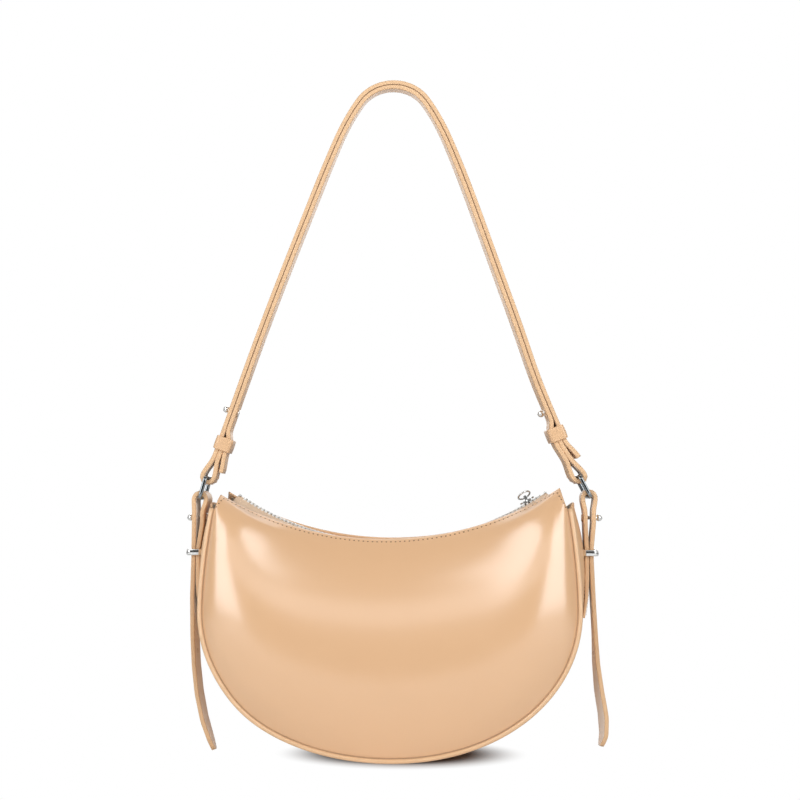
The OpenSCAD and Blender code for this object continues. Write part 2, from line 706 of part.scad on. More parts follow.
// Everything that turns about the stud lies above it or in the round end below it, and the strands
// under it end clear of its sweep
module strap_end() {
    union() {
        translate([0, -strap_w, stud_z]) cube([2 * seam_w, 2 * strap_w, seam_w]);
        translate([0, 0, stud_z]) rotate([0, 90, 0]) cylinder(h = 2 * seam_w, d = strap_w);
    }
}
module strap_sweep() {
    translate([0, -strap_w, stud_z - strap_w / 2 - slide_fit]) cube([2 * seam_w, 2 * strap_w, seam_w]);
}
module side_loop(side) {
    bar = lower_bar(side);
    mid = bar - [0, bar_lift];
    x = stud_mid_x[side];
    end_z = stud_z - strap_w / 2 - over;
    bend_z = stud_z + plate_d / 2 + slide_fit;
    path = concat(
        [[x - strand_off, end_z]],
        [for (i = [0:curve_steps]) let (s = i / curve_steps)
            [mix(x - strand_off, mid[0] - side_loop_mid_r, ease(s)), mix(bend_z, mid[1], s)]],
        [for (i = [1:curve_steps - 1]) let (a = 180 - 180 * i / curve_steps)
            mid + side_loop_mid_r * [cos(a), sin(a)]],
        [for (i = [curve_steps:-1:0]) let (s = i / curve_steps)
            [mix(x + strand_off, mid[0] + side_loop_mid_r, ease(s)), mix(bend_z, mid[1], s)]],
        [[x + strand_off, end_z]]
    );
    color(leather) on_side(side) difference() {
        intersection() {
            across(strap_w) strip(path, side_t);
            strap_end();
        }
        translate([0, 0, stud_z]) rotate([0, 90, 0]) cylinder(h = seam_w, d = post_d + 2 * post_fit);
    }
}
module side_loop_left() { side_loop(left); }
module side_loop_right() { side_loop(right); }

// The strand that is sewn to the gusset, thinned towards its end
sewn_top_z = 124;
function sewn_shares() = [[0, 0.5], [0.3, 0.78], [0.62, 1], [1, 1]];
module side_strap_base(side) {
    sewn = [for (s = sewn_shares()) let (z = mix(base_low_z, sewn_top_z, s[0]))
        [gusset_x(z) + seam_fit, z, s[1] * side_t]];
    top_x = stud_mid_x[side] - strand_off - side_t / 2;
    top_z = stud_z;
    inner = concat([for (p = sewn) [p[0], p[1]]],
        [[keeper_base_x - side_t / 2, held_z], [top_x, top_z]]);
    outer = concat([for (p = sewn) [p[0] + p[2], p[1]]],
        [[keeper_base_x + side_t / 2, held_z], [top_x + side_t, top_z]]);
    color(leather) on_side(side) difference() {
        across(strap_w) polygon(concat(inner, reversed(outer)));
        strap_sweep();
    }
}
module side_strap_base_left() { side_strap_base(left); }
module side_strap_base_right() { side_strap_base(right); }

module side_strap_return(side) {
    low_z = tail_pin_z + side_t / 2 + slide_fit;
    path = [[keeper_return_x, low_z], [keeper_return_x, held_z],
        [stud_mid_x[side] + strand_off, stud_z]];
    color(leather) on_side(side) difference() {
        across(strap_w) strip(path, side_t);
        strap_sweep();
    }
}
module side_strap_return_left() { side_strap_return(left); }
module side_strap_return_right() { side_strap_return(right); }

side_grip = 2 * side_t + strand_gap + seam_fit;
module at_side_stud(side) {
    on_side(side) translate([stud_mid_x[side] + strand_off + side_t / 2, 0, stud_z]) children();
}
module side_stud_left() { color(nickel) at_side_stud(left) stud(side_grip); }
module side_stud_right() { color(nickel) at_side_stud(right) stud(side_grip); }
module side_stud_screws() {
    color(nickel) for (side = [left, right]) at_side_stud(side) screw_plate(side_grip);
}

module metal_keeper(side) {
    in_x = keeper_in_x();
    out_x = keeper_return_x + side_t / 2 + metal_keeper_room + metal_keeper_t;
    w = strap_w + 2 * (ring_clear + metal_keeper_t);
    color(nickel) on_side(side) translate([(in_x + out_x) / 2, 0, keeper_z]) difference() {
        band(out_x - in_x, w, metal_keeper_h, metal_keeper_t + seam_fit);
        band(out_x - in_x - 2 * metal_keeper_t, w - 2 * metal_keeper_t, metal_keeper_h + over, seam_fit);
    }
}
module metal_keeper_left() { metal_keeper(left); }
module metal_keeper_right() { metal_keeper(right); }

// Tails: how far each stands out from its top end, as shares of its length, against the share
// of the length below the top end
tail_curve_shares = [
    [[0, 0], [0.2, 0.005], [0.4, 0.001], [0.56, -0.008], [0.7, -0.024], [0.84, -0.053],
     [0.94, -0.086], [1, -0.108]],
    [[0, 0], [0.2, 0.008], [0.4, 0.018], [0.56, 0.024], [0.7, 0.038], [0.84, 0.06],
     [0.94, 0.062], [1, 0.046]]
];
tail_tip_shares = [[0, 1], [0.72, 1], [0.86, 0.88], [0.94, 0.66], [0.98, 0.4], [1, 0.16]];
tail_hole_share = 0.545;
module tail(side) {
    len_z = tail_pin_z - tail_tip_z[side];
    path = [for (s = tail_curve_shares[side])
        [keeper_return_x + s[1] * len_z, tail_pin_z - s[0] * len_z]];
    half = [for (s = tail_tip_shares) [s[1] * strap_w / 2, tail_pin_z - s[0] * len_z]];
    color(leather) on_side(side) difference() {
        union() {
            intersection() {
                across(strap_w) strip(path, side_t);
                rotate([90, 0, 90]) linear_extrude(2 * seam_w) polygon(concat(
                    [[strap_w, stud_z], [strap_w, tail_pin_z]], half, reversed(flipped(half)),
                    [[-strap_w, tail_pin_z], [-strap_w, stud_z]]));
            }
            translate([keeper_return_x, strap_w / 2, tail_pin_z]) rotate([90, 0, 0])
                cylinder(h = strap_w, d = side_t);
        }
        translate([0, 0, tail_pin_z - tail_hole_share * len_z]) rotate([0, 90, 0])
            cylinder(h = seam_w, d = tail_hole_d);
    }
}
module tail_left() { tail(left); }
module tail_right() { tail(right); }

front_panel();
back_panel();
gusset();
front_piping();
back_piping();
front_lining();
back_lining();
gusset_lining();
inner_pocket();
zip_tape_front();
zip_tape_back();
zip_teeth_front();
zip_teeth_back();
zip_end_stops();
side_strap_base_left();
side_strap_base_right();
side_strap_return_left();
side_strap_return_right();
side_stud_left();
side_stud_right();
side_stud_screws();
metal_keeper_left();
metal_keeper_right();
side_loop_left();
side_loop_right();
ring_left();
ring_right();
shoulder_strap_outer();
shoulder_strap_inner();
strap_stud_left();
strap_stud_right();
strap_stud_screws();
leather_keeper_left();
leather_keeper_right();
tail_left();
tail_right();
zip_slider();
zip_puller();
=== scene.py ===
import bmesh
import bpy
import math
from mathutils import Matrix, Vector


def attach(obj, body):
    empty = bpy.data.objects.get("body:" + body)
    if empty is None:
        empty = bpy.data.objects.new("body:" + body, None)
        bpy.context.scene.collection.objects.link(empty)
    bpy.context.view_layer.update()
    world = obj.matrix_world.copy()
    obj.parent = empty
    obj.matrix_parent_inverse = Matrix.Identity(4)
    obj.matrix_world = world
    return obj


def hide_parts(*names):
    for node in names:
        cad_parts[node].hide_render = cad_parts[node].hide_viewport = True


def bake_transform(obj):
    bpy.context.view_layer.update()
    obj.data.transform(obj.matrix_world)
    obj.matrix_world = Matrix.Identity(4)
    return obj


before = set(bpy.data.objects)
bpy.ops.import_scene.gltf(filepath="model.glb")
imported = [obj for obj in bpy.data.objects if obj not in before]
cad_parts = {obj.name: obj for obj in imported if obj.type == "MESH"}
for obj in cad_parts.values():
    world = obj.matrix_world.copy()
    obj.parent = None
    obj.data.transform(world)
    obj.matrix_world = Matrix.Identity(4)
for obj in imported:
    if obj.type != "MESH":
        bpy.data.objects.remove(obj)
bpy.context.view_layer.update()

mm = 0.001
front, rear = 0, 1
left, right = 0, 1
sideSign = (-1, 1)
sideName = ("left", "right")


# shape of the bag, in mm: the lines that the solids follow, with the soft unevenness of the real one

bag = {
    "seamW": 270.4, "bellyZ": 107, "seamTopZ": 176, "drawIn": 5.8, "gapLow": 76, "gapHigh": 44,
    "swell": 9, "rim": 1, "rimTurn": 26, "hideT": 1.8, "beadD": 3.2, "seamFit": 0.1,
    "mouthLowZ": (153.8, 154.4), "mouthR": (232, 236.5), "mouthShift": (4.8, 0), "cornerShift": (-1, 0),
    "cornerW": 243, "mouthGapMid": 16, "mouthGapCorner": 28,
    "roundPower": 2.08, "drawPower": 1.8, "gapPower": 2.5, "gapMouthPower": 1.5, "lowShare": 0.76,
    "seamTurn": 4.2, "mouthTurn": 3, "cornerTurn": 2.4,
    "gussetSwell": 4, "swellLoss": 0.5, "swellLow": 0.25, "swellZ": 88, "swellOver": 45,
    "fullSide": 2.4, "fullZ": 24, "fullSpread": 22, "fullReach": 60,
    "pullFadeLow": 0.12, "pullFadeSide": 0.05, "pullFadeHigh": 0.06,
}


def mix(a, b, s):
    return a + (b - a) * s


def clamp(s):
    return min(max(s, 0), 1)


def ease(s):
    s = clamp(s)
    return s * s * (3 - 2 * s)


def bump(s):
    return math.exp(-s * s)


def mouthZ(x, face):
    # the front edge leans to the left, the rear one is even
    r = bag["mouthR"][face]
    return bag["mouthLowZ"][face] + r - math.sqrt(r * r - (x + bag["mouthShift"][face]) ** 2)


def mouthGap(u):
    return mix(bag["mouthGapMid"], bag["mouthGapCorner"], abs(u) ** bag["gapMouthPower"])


def seamGap(z):
    return mix(bag["gapLow"], bag["gapHigh"], clamp(z / bag["seamTopZ"]) ** bag["gapPower"])


def highShare(z):
    return clamp((z - bag["bellyZ"]) / (bag["seamTopZ"] - bag["bellyZ"]))


def seamLine(u):
    # the seam in front view, from the left corner round the bottom to the right one
    low = clamp(abs(u) / bag["lowShare"])
    high = max((abs(u) - bag["lowShare"]) / (1 - bag["lowShare"]), 0)
    side = -1 if u < 0 else 1
    if high > 0:
        return Vector((side * (bag["seamW"] / 2 - bag["drawIn"] * high ** bag["drawPower"]),
                       mix(bag["bellyZ"], bag["seamTopZ"], high)))
    a = math.radians(90 * low)
    p = 2 / bag["roundPower"]
    x = side * bag["seamW"] / 2 * math.sin(a) ** p
    z = bag["bellyZ"] * (1 - max(math.cos(a), 0) ** p)
    full = bag["fullSide"] * bump((z - bag["fullZ"]) / bag["fullSpread"]) * ease(-x / bag["fullReach"])
    return Vector((x - full, z))


def seamPoint(u, inset):
    d = 0.01
    t = (seamLine(min(u + d, 1)) - seamLine(max(u - d, -1))).normalized()
    return seamLine(u) + inset * Vector((-t.y, t.x))


def swellAt(z):
    low = mix(bag["swellLow"], 1, ease((z - bag["swellZ"]) / bag["swellOver"]))
    return bag["gussetSwell"] * (1 - bag["swellLoss"] * highShare(z) ** 2) * low


def gussetX(z):
    return bag["seamW"] / 2 - bag["drawIn"] * highShare(z) ** bag["drawPower"] + swellAt(z)


# soft creases and swells of the front that run from its two pulled corners: the way each runs is in degrees
# from straight down towards the middle, then its spread outwards and inwards, its height and the distance at
# which it is highest
pulls = (
    ((52, 34, 26, 4.5, 27), (20, 14, 20, 2.8, 92)),
    ((50, 32, 24, 3.8, 27), (16, 11, 16, 2.6, 88)),
)
cornerPlace = ((-122.5, 185.9), (120.5, 189.9))


def pulled(x, z):
    total = 0
    for side in (left, right):
        cx, cz = cornerPlace[side]
        inX = (cx - x) * sideSign[side]
        r = math.hypot(inX, cz - z)
        a = math.degrees(math.atan2(inX, cz - z))
        for way, spreadOut, spreadIn, height, reach in pulls[side]:
            far = (r / reach) ** 2
            total += height * far * math.exp(1 - far) * bump((a - way) / (spreadIn if a > way else spreadOut))
    return total


def panelPoint(u, v, inset, drop, face):
    # outer face of a panel: u from left to right, v from the seam up to the mouth, y away from the middle
    low = seamPoint(u, inset)
    w = u * (bag["cornerW"] / 2 - drop) + bag["cornerShift"][face]
    high = Vector((w, mouthZ(w, face) - drop))
    lowY = seamGap(low.y) / 2
    highY = mouthGap(u) / 2
    turn = mix(bag["mouthTurn"], bag["cornerTurn"], u * u)
    fullY = lowY + bag["swell"] * (1 - abs(u) ** bag["seamTurn"])
    y = fullY - (fullY - lowY) * (1 - v) ** bag["seamTurn"] - (fullY - highY) * v ** turn
    y += bag["rim"] * (1 - abs(u) ** bag["rimTurn"]) * (1 - (1 - v) ** bag["rimTurn"]) * (1 - v ** bag["rimTurn"])
    p = low.lerp(high, v)
    fade = ease(v / bag["pullFadeLow"]) * ease((1 - abs(u)) / bag["pullFadeSide"])
    y += pulled(p.x, p.y) * fade * ease((1 - v) / bag["pullFadeHigh"])
    return Vector((p.x, -y, p.y))


# mesh helpers

def newPiece(name, points, faces, materials, uvs=None, faceSlots=None):
    mesh = bpy.data.meshes.new(name)
    mesh.from_pydata([tuple(c * mm for c in p) for p in points], [], faces)
    uvs = uvs or [(p[0] * mm, p[2] * mm) for p in points]
    mesh.uv_layers.new(name="UVMap").data.foreach_set("uv", [c for f in faces for i in f for c in uvs[i]])
    for material in materials:
        mesh.materials.append(material)
    if faceSlots:
        mesh.polygons.foreach_set("material_index", faceSlots)
    mesh.polygons.foreach_set("use_smooth", [True] * len(faces))
    mesh.update()
    obj = bpy.data.objects.new(name, mesh)
    bpy.context.scene.collection.objects.link(obj)
    return obj


def gridNormals(grid):
    rows, cols = len(grid), len(grid[0])
    out = []
    for r in range(rows):
        line = []
        for c in range(cols):
            across = grid[r][min(c + 1, cols - 1)] - grid[r][max(c - 1, 0)]
            along = grid[min(r + 1, rows - 1)][c] - grid[max(r - 1, 0)][c]
            line.append(across.cross(along).normalized())
        out.append(line)
    return out


def shellPiece(name, grid, thickness, material, rimSteps=4, flip=False):
    # a sheet with a rounded rim: the grid is its outer face
    rows, cols = len(grid), len(grid[0])
    way = -1 if flip else 1
    normals = [[n * way for n in line] for line in gridNormals(grid)]
    points = [p for line in grid for p in line]
    points += [p - n * thickness for line, nl in zip(grid, normals) for p, n in zip(line, nl)]
    under = rows * cols

    def at(r, c):
        return r * cols + c

    faces = []
    for r in range(rows - 1):
        for c in range(cols - 1):
            f = [at(r, c), at(r, c + 1), at(r + 1, c + 1), at(r + 1, c)]
            faces += [f[::way], [i + under for i in f][::-way]]
    border = [(0, c) for c in range(cols - 1)] + [(r, cols - 1) for r in range(rows - 1)]
    border += [(rows - 1, c) for c in range(cols - 1, 0, -1)] + [(r, 0) for r in range(rows - 1, 0, -1)]
    rims = []
    for r, c in border:
        p, n = grid[r][c], normals[r][c]
        out = Vector((0, 0, 0))
        if r in (0, rows - 1):
            out += (p - grid[1 if r == 0 else rows - 2][c]).normalized()
        if c in (0, cols - 1):
            out += (p - grid[r][1 if c == 0 else cols - 2]).normalized()
        out -= n * out.dot(n)
        out *= 2 / out.length_squared if out.length > 1.05 else 1 / out.length
        mid = p - n * thickness / 2
        rim = [at(r, c)]
        for k in range(1, rimSteps):
            a = math.pi * k / rimSteps
            rim.append(len(points))
            points.append(mid + thickness / 2 * (math.cos(a) * n + math.sin(a) * out))
        rims.append(rim + [at(r, c) + under])
    for a, b in zip(rims, rims[1:] + rims[:1]):
        faces += [[a[k], a[k + 1], b[k + 1], b[k]][::way] for k in range(rimSteps)]
    return newPiece(name, points, faces, [material])


def roundedSection(halfT, halfW, r, flat=6, corner=3):
    # outline of a strap: list of (out, across, face kind) with 0 outer face, 1 edge, 2 inner face
    pts = []
    for q, (signT, signW) in enumerate(((1, 1), (-1, 1), (-1, -1), (1, -1))):
        if signT == signW:  # a flat face comes before the first and the third corner
            pts += [(signT * halfT, signW * mix(r - halfW, halfW - r, i / flat), q) for i in range(flat + 1)]
        for k in range(1 - q % 2, corner + 2 - q % 2):
            a = math.pi / 2 * (q + k / (corner + 1))
            pts.append((signT * (halfT - r) + r * math.cos(a), signW * (halfW - r) + r * math.sin(a), 1))
    return pts


def ringFaces(count, sides, closed=False):
    # the faces between outlines that follow each other, with a cap at each end of an open row
    nexts = [(i, (i + 1) % count) for i in range(count if closed else count - 1)]
    faces = [[i * sides + k, i * sides + (k + 1) % sides, j * sides + (k + 1) % sides, j * sides + k]
             for i, j in nexts for k in range(sides)]
    if not closed:
        faces += [list(range(sides))[::-1], list(range((count - 1) * sides, count * sides))]
    return faces


def circle(mid, r, sideA, sideB, sides):
    return [mid + r * (math.cos(a) * sideA + math.sin(a) * sideB)
            for a in (2 * math.pi * k / sides for k in range(sides))]


def tubePiece(name, path, rings, material, closed=False):
    # outlines carried along a path in space
    sides = len(rings[0])
    uvs, run = [], 0
    for i, p in enumerate(path):
        run += (p - path[i - 1]).length if i else 0
        uvs += [(run * mm, k / sides) for k in range(sides)]
    points = [p for row in rings for p in row]
    return outward(newPiece(name, points, ringFaces(len(path), sides, closed), [material], uvs))


def turnedPiece(name, profile, origin, axis, material, sides=40):
    # a lathe shape: profile is (along, radius) from end to end
    axis = axis.normalized()
    sideA = axis.orthogonal().normalized()
    sideB = axis.cross(sideA)
    points = [p for along, r in profile for p in circle(origin + axis * along, max(r, 0.001), sideA, sideB, sides)]
    return newPiece(name, points, ringFaces(len(profile), sides), [material])


def joined(name, pieces):
    for o in bpy.context.selected_objects:
        o.select_set(False)
    for o in pieces:
        o.select_set(True)
    bpy.context.view_layer.objects.active = pieces[0]
    bpy.ops.object.join()
    pieces[0].name = name
    pieces[0].data.name = name
    return pieces[0]


def outward(obj):
    # faces of closed parts point out
    bm = bmesh.new()
    bm.from_mesh(obj.data)
    bmesh.ops.recalc_face_normals(bm, faces=bm.faces)
    bm.to_mesh(obj.data)
    bm.free()
    obj.data.update()
    return obj


def dress(piece, bodyName, slotName, *nodes, bend=None):
    # the piece rides on a body, or with a bend given it stays fixed where it is, and stands for its nodes
    if bend:
        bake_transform(piece)
    else:
        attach(piece, bodyName)
    if nodes:
        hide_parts(*nodes)


# materials

def setInputs(tree, node, inputs):
    # an input is another node's output, or else a plain value
    for key, value in inputs.items():
        if isinstance(value, bpy.types.NodeSocket):
            tree.links.new(value, node.inputs[key])
        else:
            node.inputs[key].default_value = value


def nodeOf(tree, kind, inputs=None, **settings):
    node = tree.nodes.new(kind)
    for key, value in settings.items():
        setattr(node, key, value)
    setInputs(tree, node, inputs or {})
    return node


def groupTree(name, kind, inputs, outputs):
    # each socket is given with its kind, and an input with its value where it has one
    tree = bpy.data.node_groups.new(name, kind)
    for label, (socketKind, value) in inputs.items():
        socket = tree.interface.new_socket(name=label, in_out="INPUT", socket_type="NodeSocket" + socketKind)
        if value is not None:
            socket.default_value = value
    for label, socketKind in outputs.items():
        tree.interface.new_socket(name=label, in_out="OUTPUT", socket_type="NodeSocket" + socketKind)
    return tree, tree.nodes.new("NodeGroupInput").outputs, tree.nodes.new("NodeGroupOutput")


def leatherGrainGroup():
    tree, given, end = groupTree("leatherGrain", "ShaderNodeTree", {
        "Vector": ("Vector", None), "Pore size": ("Float", 0.0006), "Pull": ("Float", 0.4)},
        {"Height": "Float", "Tone": "Float"})
    inverse = nodeOf(tree, "ShaderNodeMath", {0: 1, 1: given["Pore size"]}, operation="DIVIDE")
    half = nodeOf(tree, "ShaderNodeMath", {0: inverse.outputs[0], 1: 0.35}, operation="MULTIPLY")
    cells = nodeOf(tree, "ShaderNodeTexVoronoi", {
        "Vector": given["Vector"], "Scale": inverse.outputs[0], "Smoothness": 0.6}, feature="SMOOTH_F1")
    fine = nodeOf(tree, "ShaderNodeTexNoise", {"Vector": given["Vector"], "Scale": half.outputs[0], "Detail": 4})
    broad = nodeOf(tree, "ShaderNodeTexNoise", {"Vector": given["Vector"], "Scale": 28, "Detail": 3})
    height = nodeOf(tree, "ShaderNodeMix", {
        0: given["Pull"], 2: cells.outputs["Distance"], 3: fine.outputs[0]}, data_type="FLOAT")
    setInputs(tree, end, {"Height": height.outputs[0], "Tone": broad.outputs[0]})
    return tree


def clothWeaveGroup():
    tree, given, end = groupTree("clothWeave", "ShaderNodeTree", {
        "Vector": ("Vector", None), "Threads": ("Float", 1800)}, {"Height": "Float", "Tone": "Float"})
    waves = [nodeOf(tree, "ShaderNodeTexWave", {
        "Vector": given["Vector"], "Scale": given["Threads"], "Distortion": 0.4},
        wave_type="BANDS", bands_direction=way).outputs["Fac"] for way in ("X", "Y")]
    top = nodeOf(tree, "ShaderNodeMath", {0: waves[0], 1: waves[1]}, operation="MULTIPLY")
    noise = nodeOf(tree, "ShaderNodeTexNoise", {"Vector": given["Vector"], "Scale": 300})
    setInputs(tree, end, {"Height": top.outputs[0], "Tone": noise.outputs[0]})
    return tree


grainGroup = leatherGrainGroup()
weaveGroup = clothWeaveGroup()


def newMaterial(name):
    mat = bpy.data.materials.new(name)
    mat.use_nodes = True
    return mat, mat.node_tree, mat.node_tree.nodes["Principled BSDF"]


def mixedColour(tree, share, first, second):
    return nodeOf(tree, "ShaderNodeMix", {0: share, 6: (*first, 1), 7: (*second, 1)}, data_type="RGBA").outputs[2]


def mixedGloss(tree, share, rough):
    return nodeOf(tree, "ShaderNodeMapRange", {
        "To Min": rough[0], "To Max": rough[1], "Value": share}).outputs["Result"]


def lift(tree, height, strength, distance):
    return nodeOf(tree, "ShaderNodeBump", {
        "Strength": strength, "Distance": distance, "Height": height}).outputs["Normal"]


def leather(name, light, dark, rough=(0.34, 0.46), poreSize=0.0006, bump=0.05, coat=0.35, coatRough=0.22,
            ior=1.5, coatIor=1.5):
    mat, tree, shader = newMaterial(name)
    coords = nodeOf(tree, "ShaderNodeTexCoord")
    grain = nodeOf(tree, "ShaderNodeGroup", {
        "Pore size": poreSize, "Vector": coords.outputs["Object"]}, node_tree=grainGroup).outputs
    setInputs(tree, shader, {
        "Base Color": mixedColour(tree, grain["Tone"], light, dark),
        "Roughness": mixedGloss(tree, grain["Tone"], rough),
        "Normal": lift(tree, grain["Height"], bump, 0.0004), "IOR": ior,
        "Coat Weight": coat, "Coat Roughness": coatRough, "Coat IOR": coatIor})
    return mat


def metal(name, colour, rough=0.1):
    mat, tree, shader = newMaterial(name)
    coords = nodeOf(tree, "ShaderNodeTexCoord")
    noise = nodeOf(tree, "ShaderNodeTexNoise", {"Scale": 900, "Vector": coords.outputs["Object"]})
    setInputs(tree, shader, {
        "Base Color": (*colour, 1), "Metallic": 1,
        "Roughness": mixedGloss(tree, noise.outputs[0], (rough * 0.7, rough * 1.4))})
    return mat


def cloth(name, light, dark, threads=1800):
    mat, tree, shader = newMaterial(name)
    coords = nodeOf(tree, "ShaderNodeTexCoord")
    height = nodeOf(tree, "ShaderNodeGroup", {
        "Threads": threads, "Vector": coords.outputs["UV"]}, node_tree=weaveGroup).outputs["Height"]
    setInputs(tree, shader, {
        "Base Color": mixedColour(tree, height, dark, light), "Normal": lift(tree, height, 0.4, 0.0003),
        "Roughness": 0.85, "Sheen Weight": 0.2})
    return mat


hide = leather("polishedHide", (0.757, 0.457, 0.25), (0.742, 0.443, 0.24), rough=(0.27, 0.29), bump=0,
               poreSize=0.0009, coat=1, coatRough=0.21, coatIor=1.68)
gussetHide = leather("gussetHide", (0.8, 0.5, 0.28), (0.77, 0.47, 0.26), rough=(0.5, 0.56), bump=0, coat=0, ior=1.25)
strapFace = leather("polishedStrap", (0.78, 0.50, 0.285), (0.74, 0.46, 0.25), rough=(0.36, 0.46), bump=0.015,
                    coat=0.2, ior=1.35)
paintedEdge = leather("paintedStrapEdge", (0.76, 0.49, 0.28), (0.72, 0.45, 0.25), rough=(0.42, 0.5), bump=0,
                      poreSize=0.002, coat=0.1, ior=1.35)
# the flesh side is pale, and made paler still as painted light that lifts the shade on the inner faces of the straps
# and tails
fleshFaceAndPaintedLight = leather("paleFleshSideAndPaintedLight", (0.93, 0.82, 0.73), (0.88, 0.76, 0.66), rough=(0.75, 0.9), coat=0, ior=1.15)
pipingHide = leather("pipingHide", (0.78, 0.50, 0.29), (0.74, 0.46, 0.25), rough=(0.28, 0.36))
# dark brown that stands for the shade in the groove between panel and piping: painted shade
seamGrooveShade = leather("seamGrooveShade", (0.46, 0.27, 0.15), (0.4, 0.23, 0.125), rough=(0.5, 0.6), coat=0)
keeperHide = leather("keeperHide", (0.76, 0.47, 0.26), (0.71, 0.43, 0.23), rough=(0.32, 0.42))
brightNickel = metal("brightNickel", (0.88, 0.86, 0.83), 0.08)
darkNickel = metal("darkNickel", (0.32, 0.34, 0.35))
zipNickel = metal("zipNickel", (0.6, 0.59, 0.57), 0.25)
toothNickel = metal("toothNickel", (0.9, 0.89, 0.86), 0.45)
tapeCloth = cloth("zipTapeCloth", (0.88, 0.66, 0.47), (0.74, 0.52, 0.35))
liningCloth = cloth("liningCloth", (0.60, 0.50, 0.38), (0.46, 0.37, 0.27), threads=900)
thread = leather("sewingThread", (0.76, 0.50, 0.29), (0.68, 0.43, 0.24), rough=(0.55, 0.65), bump=0.2, coat=0)
paleThread = leather("paleThread", (0.9, 0.83, 0.74), (0.84, 0.76, 0.66), rough=(0.55, 0.65), bump=0.2, coat=0)
# dark brown that stands for the shade inside needle holes, the tails' holes and the gap between the strap's layers:
# painted shade
holeAndGapShade = leather("holeAndGapShade", (0.26, 0.145, 0.08), (0.20, 0.11, 0.06), rough=(0.8, 0.9), coat=0)
print("materials ready")


# body

body = {
    "along": 176, "up": 60, "alongEase": 0.35, "upEase": 0.6, "rimLower": 0.5,
    "gussetAcross": 16, "gussetEnd": 3, "gussetRise": 2.7, "gussetInset": 0.6, "gussetRoom": 0.5,
    "gussetProud": 0.6, "gussetPress": 1.7, "pressZ": 150, "pressSpread": 22,
}


def panelGrid(side):
    inset = bag["beadD"] + bag["seamFit"] + body["rimLower"]
    rows = []
    for j in range(body["up"] + 1):
        v = mix(j / body["up"], ease(j / body["up"]), body["upEase"])
        row = []
        for i in range(body["along"] + 1):
            q = 2 * i / body["along"] - 1
            u = mix(q, math.sin(q * math.pi / 2), body["alongEase"])
            p = panelPoint(u, v, inset, body["rimLower"], front if side < 0 else rear)
            row.append(Vector((p.x, p.y * -side, p.z)))
        rows.append(row)
    return rows


frontGrid, backGrid = panelGrid(-1), panelGrid(1)
dress(shellPiece("front_panel_hide", frontGrid, bag["hideT"], hide), "bag", "hide", "front_panel")
dress(shellPiece("back_panel_hide", backGrid, bag["hideT"], hide, flip=True), "bag", "hide", "back_panel")


def gussetGrid():
    # one strip round the bottom, pressed out beside the straps, that turns up a little at its two ends
    n, extra = body["along"], body["gussetEnd"]
    rows = []
    for j in range(body["gussetAcross"] + 1):
        v = 2 * j / body["gussetAcross"] - 1
        arch = 1 - v * v
        row = []
        for i in range(-extra, n + 1 + extra):
            u = 2 * min(max(i, 0), n) / n - 1
            z = seamLine(u).y
            swell = swellAt(z) + body["gussetProud"]
            swell += body["gussetPress"] * bump((z - body["pressZ"]) / body["pressSpread"])
            p = seamPoint(u, body["gussetInset"] - swell * arch)
            y = v * (seamGap(z) / 2 - bag["beadD"] / 2 - body["gussetRoom"])
            up = body["gussetRise"] * arch * max(-i, i - n, 0) / extra
            row.append(Vector((p.x, y, max(p.y, 0) + up)))
        rows.append(row)
    return rows


gussetPlaces = gussetGrid()
dress(shellPiece("gusset_hide", gussetPlaces, bag["hideT"], gussetHide, flip=True), "bag", "hide", "gusset")


piping = {"sides": 14, "flangeR": 0.9, "flangeSides": 8, "flangeInset": 0.45, "flangeIn": 0.55}


def seamCord(name, side, r, inset, inward, sides, material):
    # a round cord along the seam
    path, rings = [], []
    for i in range(body["along"] + 1):
        u = 2 * i / body["along"] - 1
        c = seamPoint(u, inset)
        out = (seamPoint(u, 0) - c).normalized()
        path.append(Vector((c.x, side * (seamGap(c.y) / 2 - inward), c.y + max(r - c.y, 0))))
        rings.append(circle(path[-1], r, Vector((out.x, 0, out.y)), Vector((0, 1, 0)), sides))
    return tubePiece(name, path, rings, material)


for name, side in (("front", -1), ("back", 1)):
    cord = seamCord(name + "_piping_cord", side, bag["beadD"] / 2, bag["beadD"] / 2, 0, piping["sides"], pipingHide)
    # a thin cord in painted shade fills the groove between the panel and the piping
    flange = seamCord(name + "_piping_flange", side, piping["flangeR"], bag["beadD"] + piping["flangeInset"],
                      piping["flangeIn"], piping["flangeSides"], seamGrooveShade)
    dress(joined(name + "_piping_cord", [cord, flange]), "bag", "piping", name + "_piping")


lining = {
    "gap": 0.4, "t": 0.6, "rows": 3, "gussetRows": 1, "pocketT": 0.8, "pocketU": 0.42, "pocketV": (0.3, 0.78),
    "pocketGap": 0.9, "pocketGape": 2.2, "pocketUp": 24, "pocketAlong": 40,
}
liningDepth = bag["hideT"] + lining["gap"]


def insideOf(grid, sign, depth, rows):
    # the same sheet, so deep under its outer face, without the last rows at its edges
    normals = gridNormals(grid)
    kept = range(rows, len(grid) - rows)
    return [[p - n * sign * depth for p, n in zip(grid[r], normals[r])][rows:len(grid[r]) - rows] for r in kept]


def pocketGrid():
    # a slip pocket on the back lining that gapes a little at its open top
    rows = []
    for j in range(lining["pocketUp"] + 1):
        s = j / lining["pocketUp"]
        row = []
        for i in range(lining["pocketAlong"] + 1):
            q = 2 * i / lining["pocketAlong"] - 1
            p = panelPoint(lining["pocketU"] * q, mix(*lining["pocketV"], s), bag["beadD"], 1, rear)
            off = liningDepth + lining["t"] + lining["pocketGap"] + lining["pocketGape"] * s * s * (1 - q ** 4)
            row.append(Vector((p.x, -p.y - off, p.z)))
        rows.append(row)
    return rows


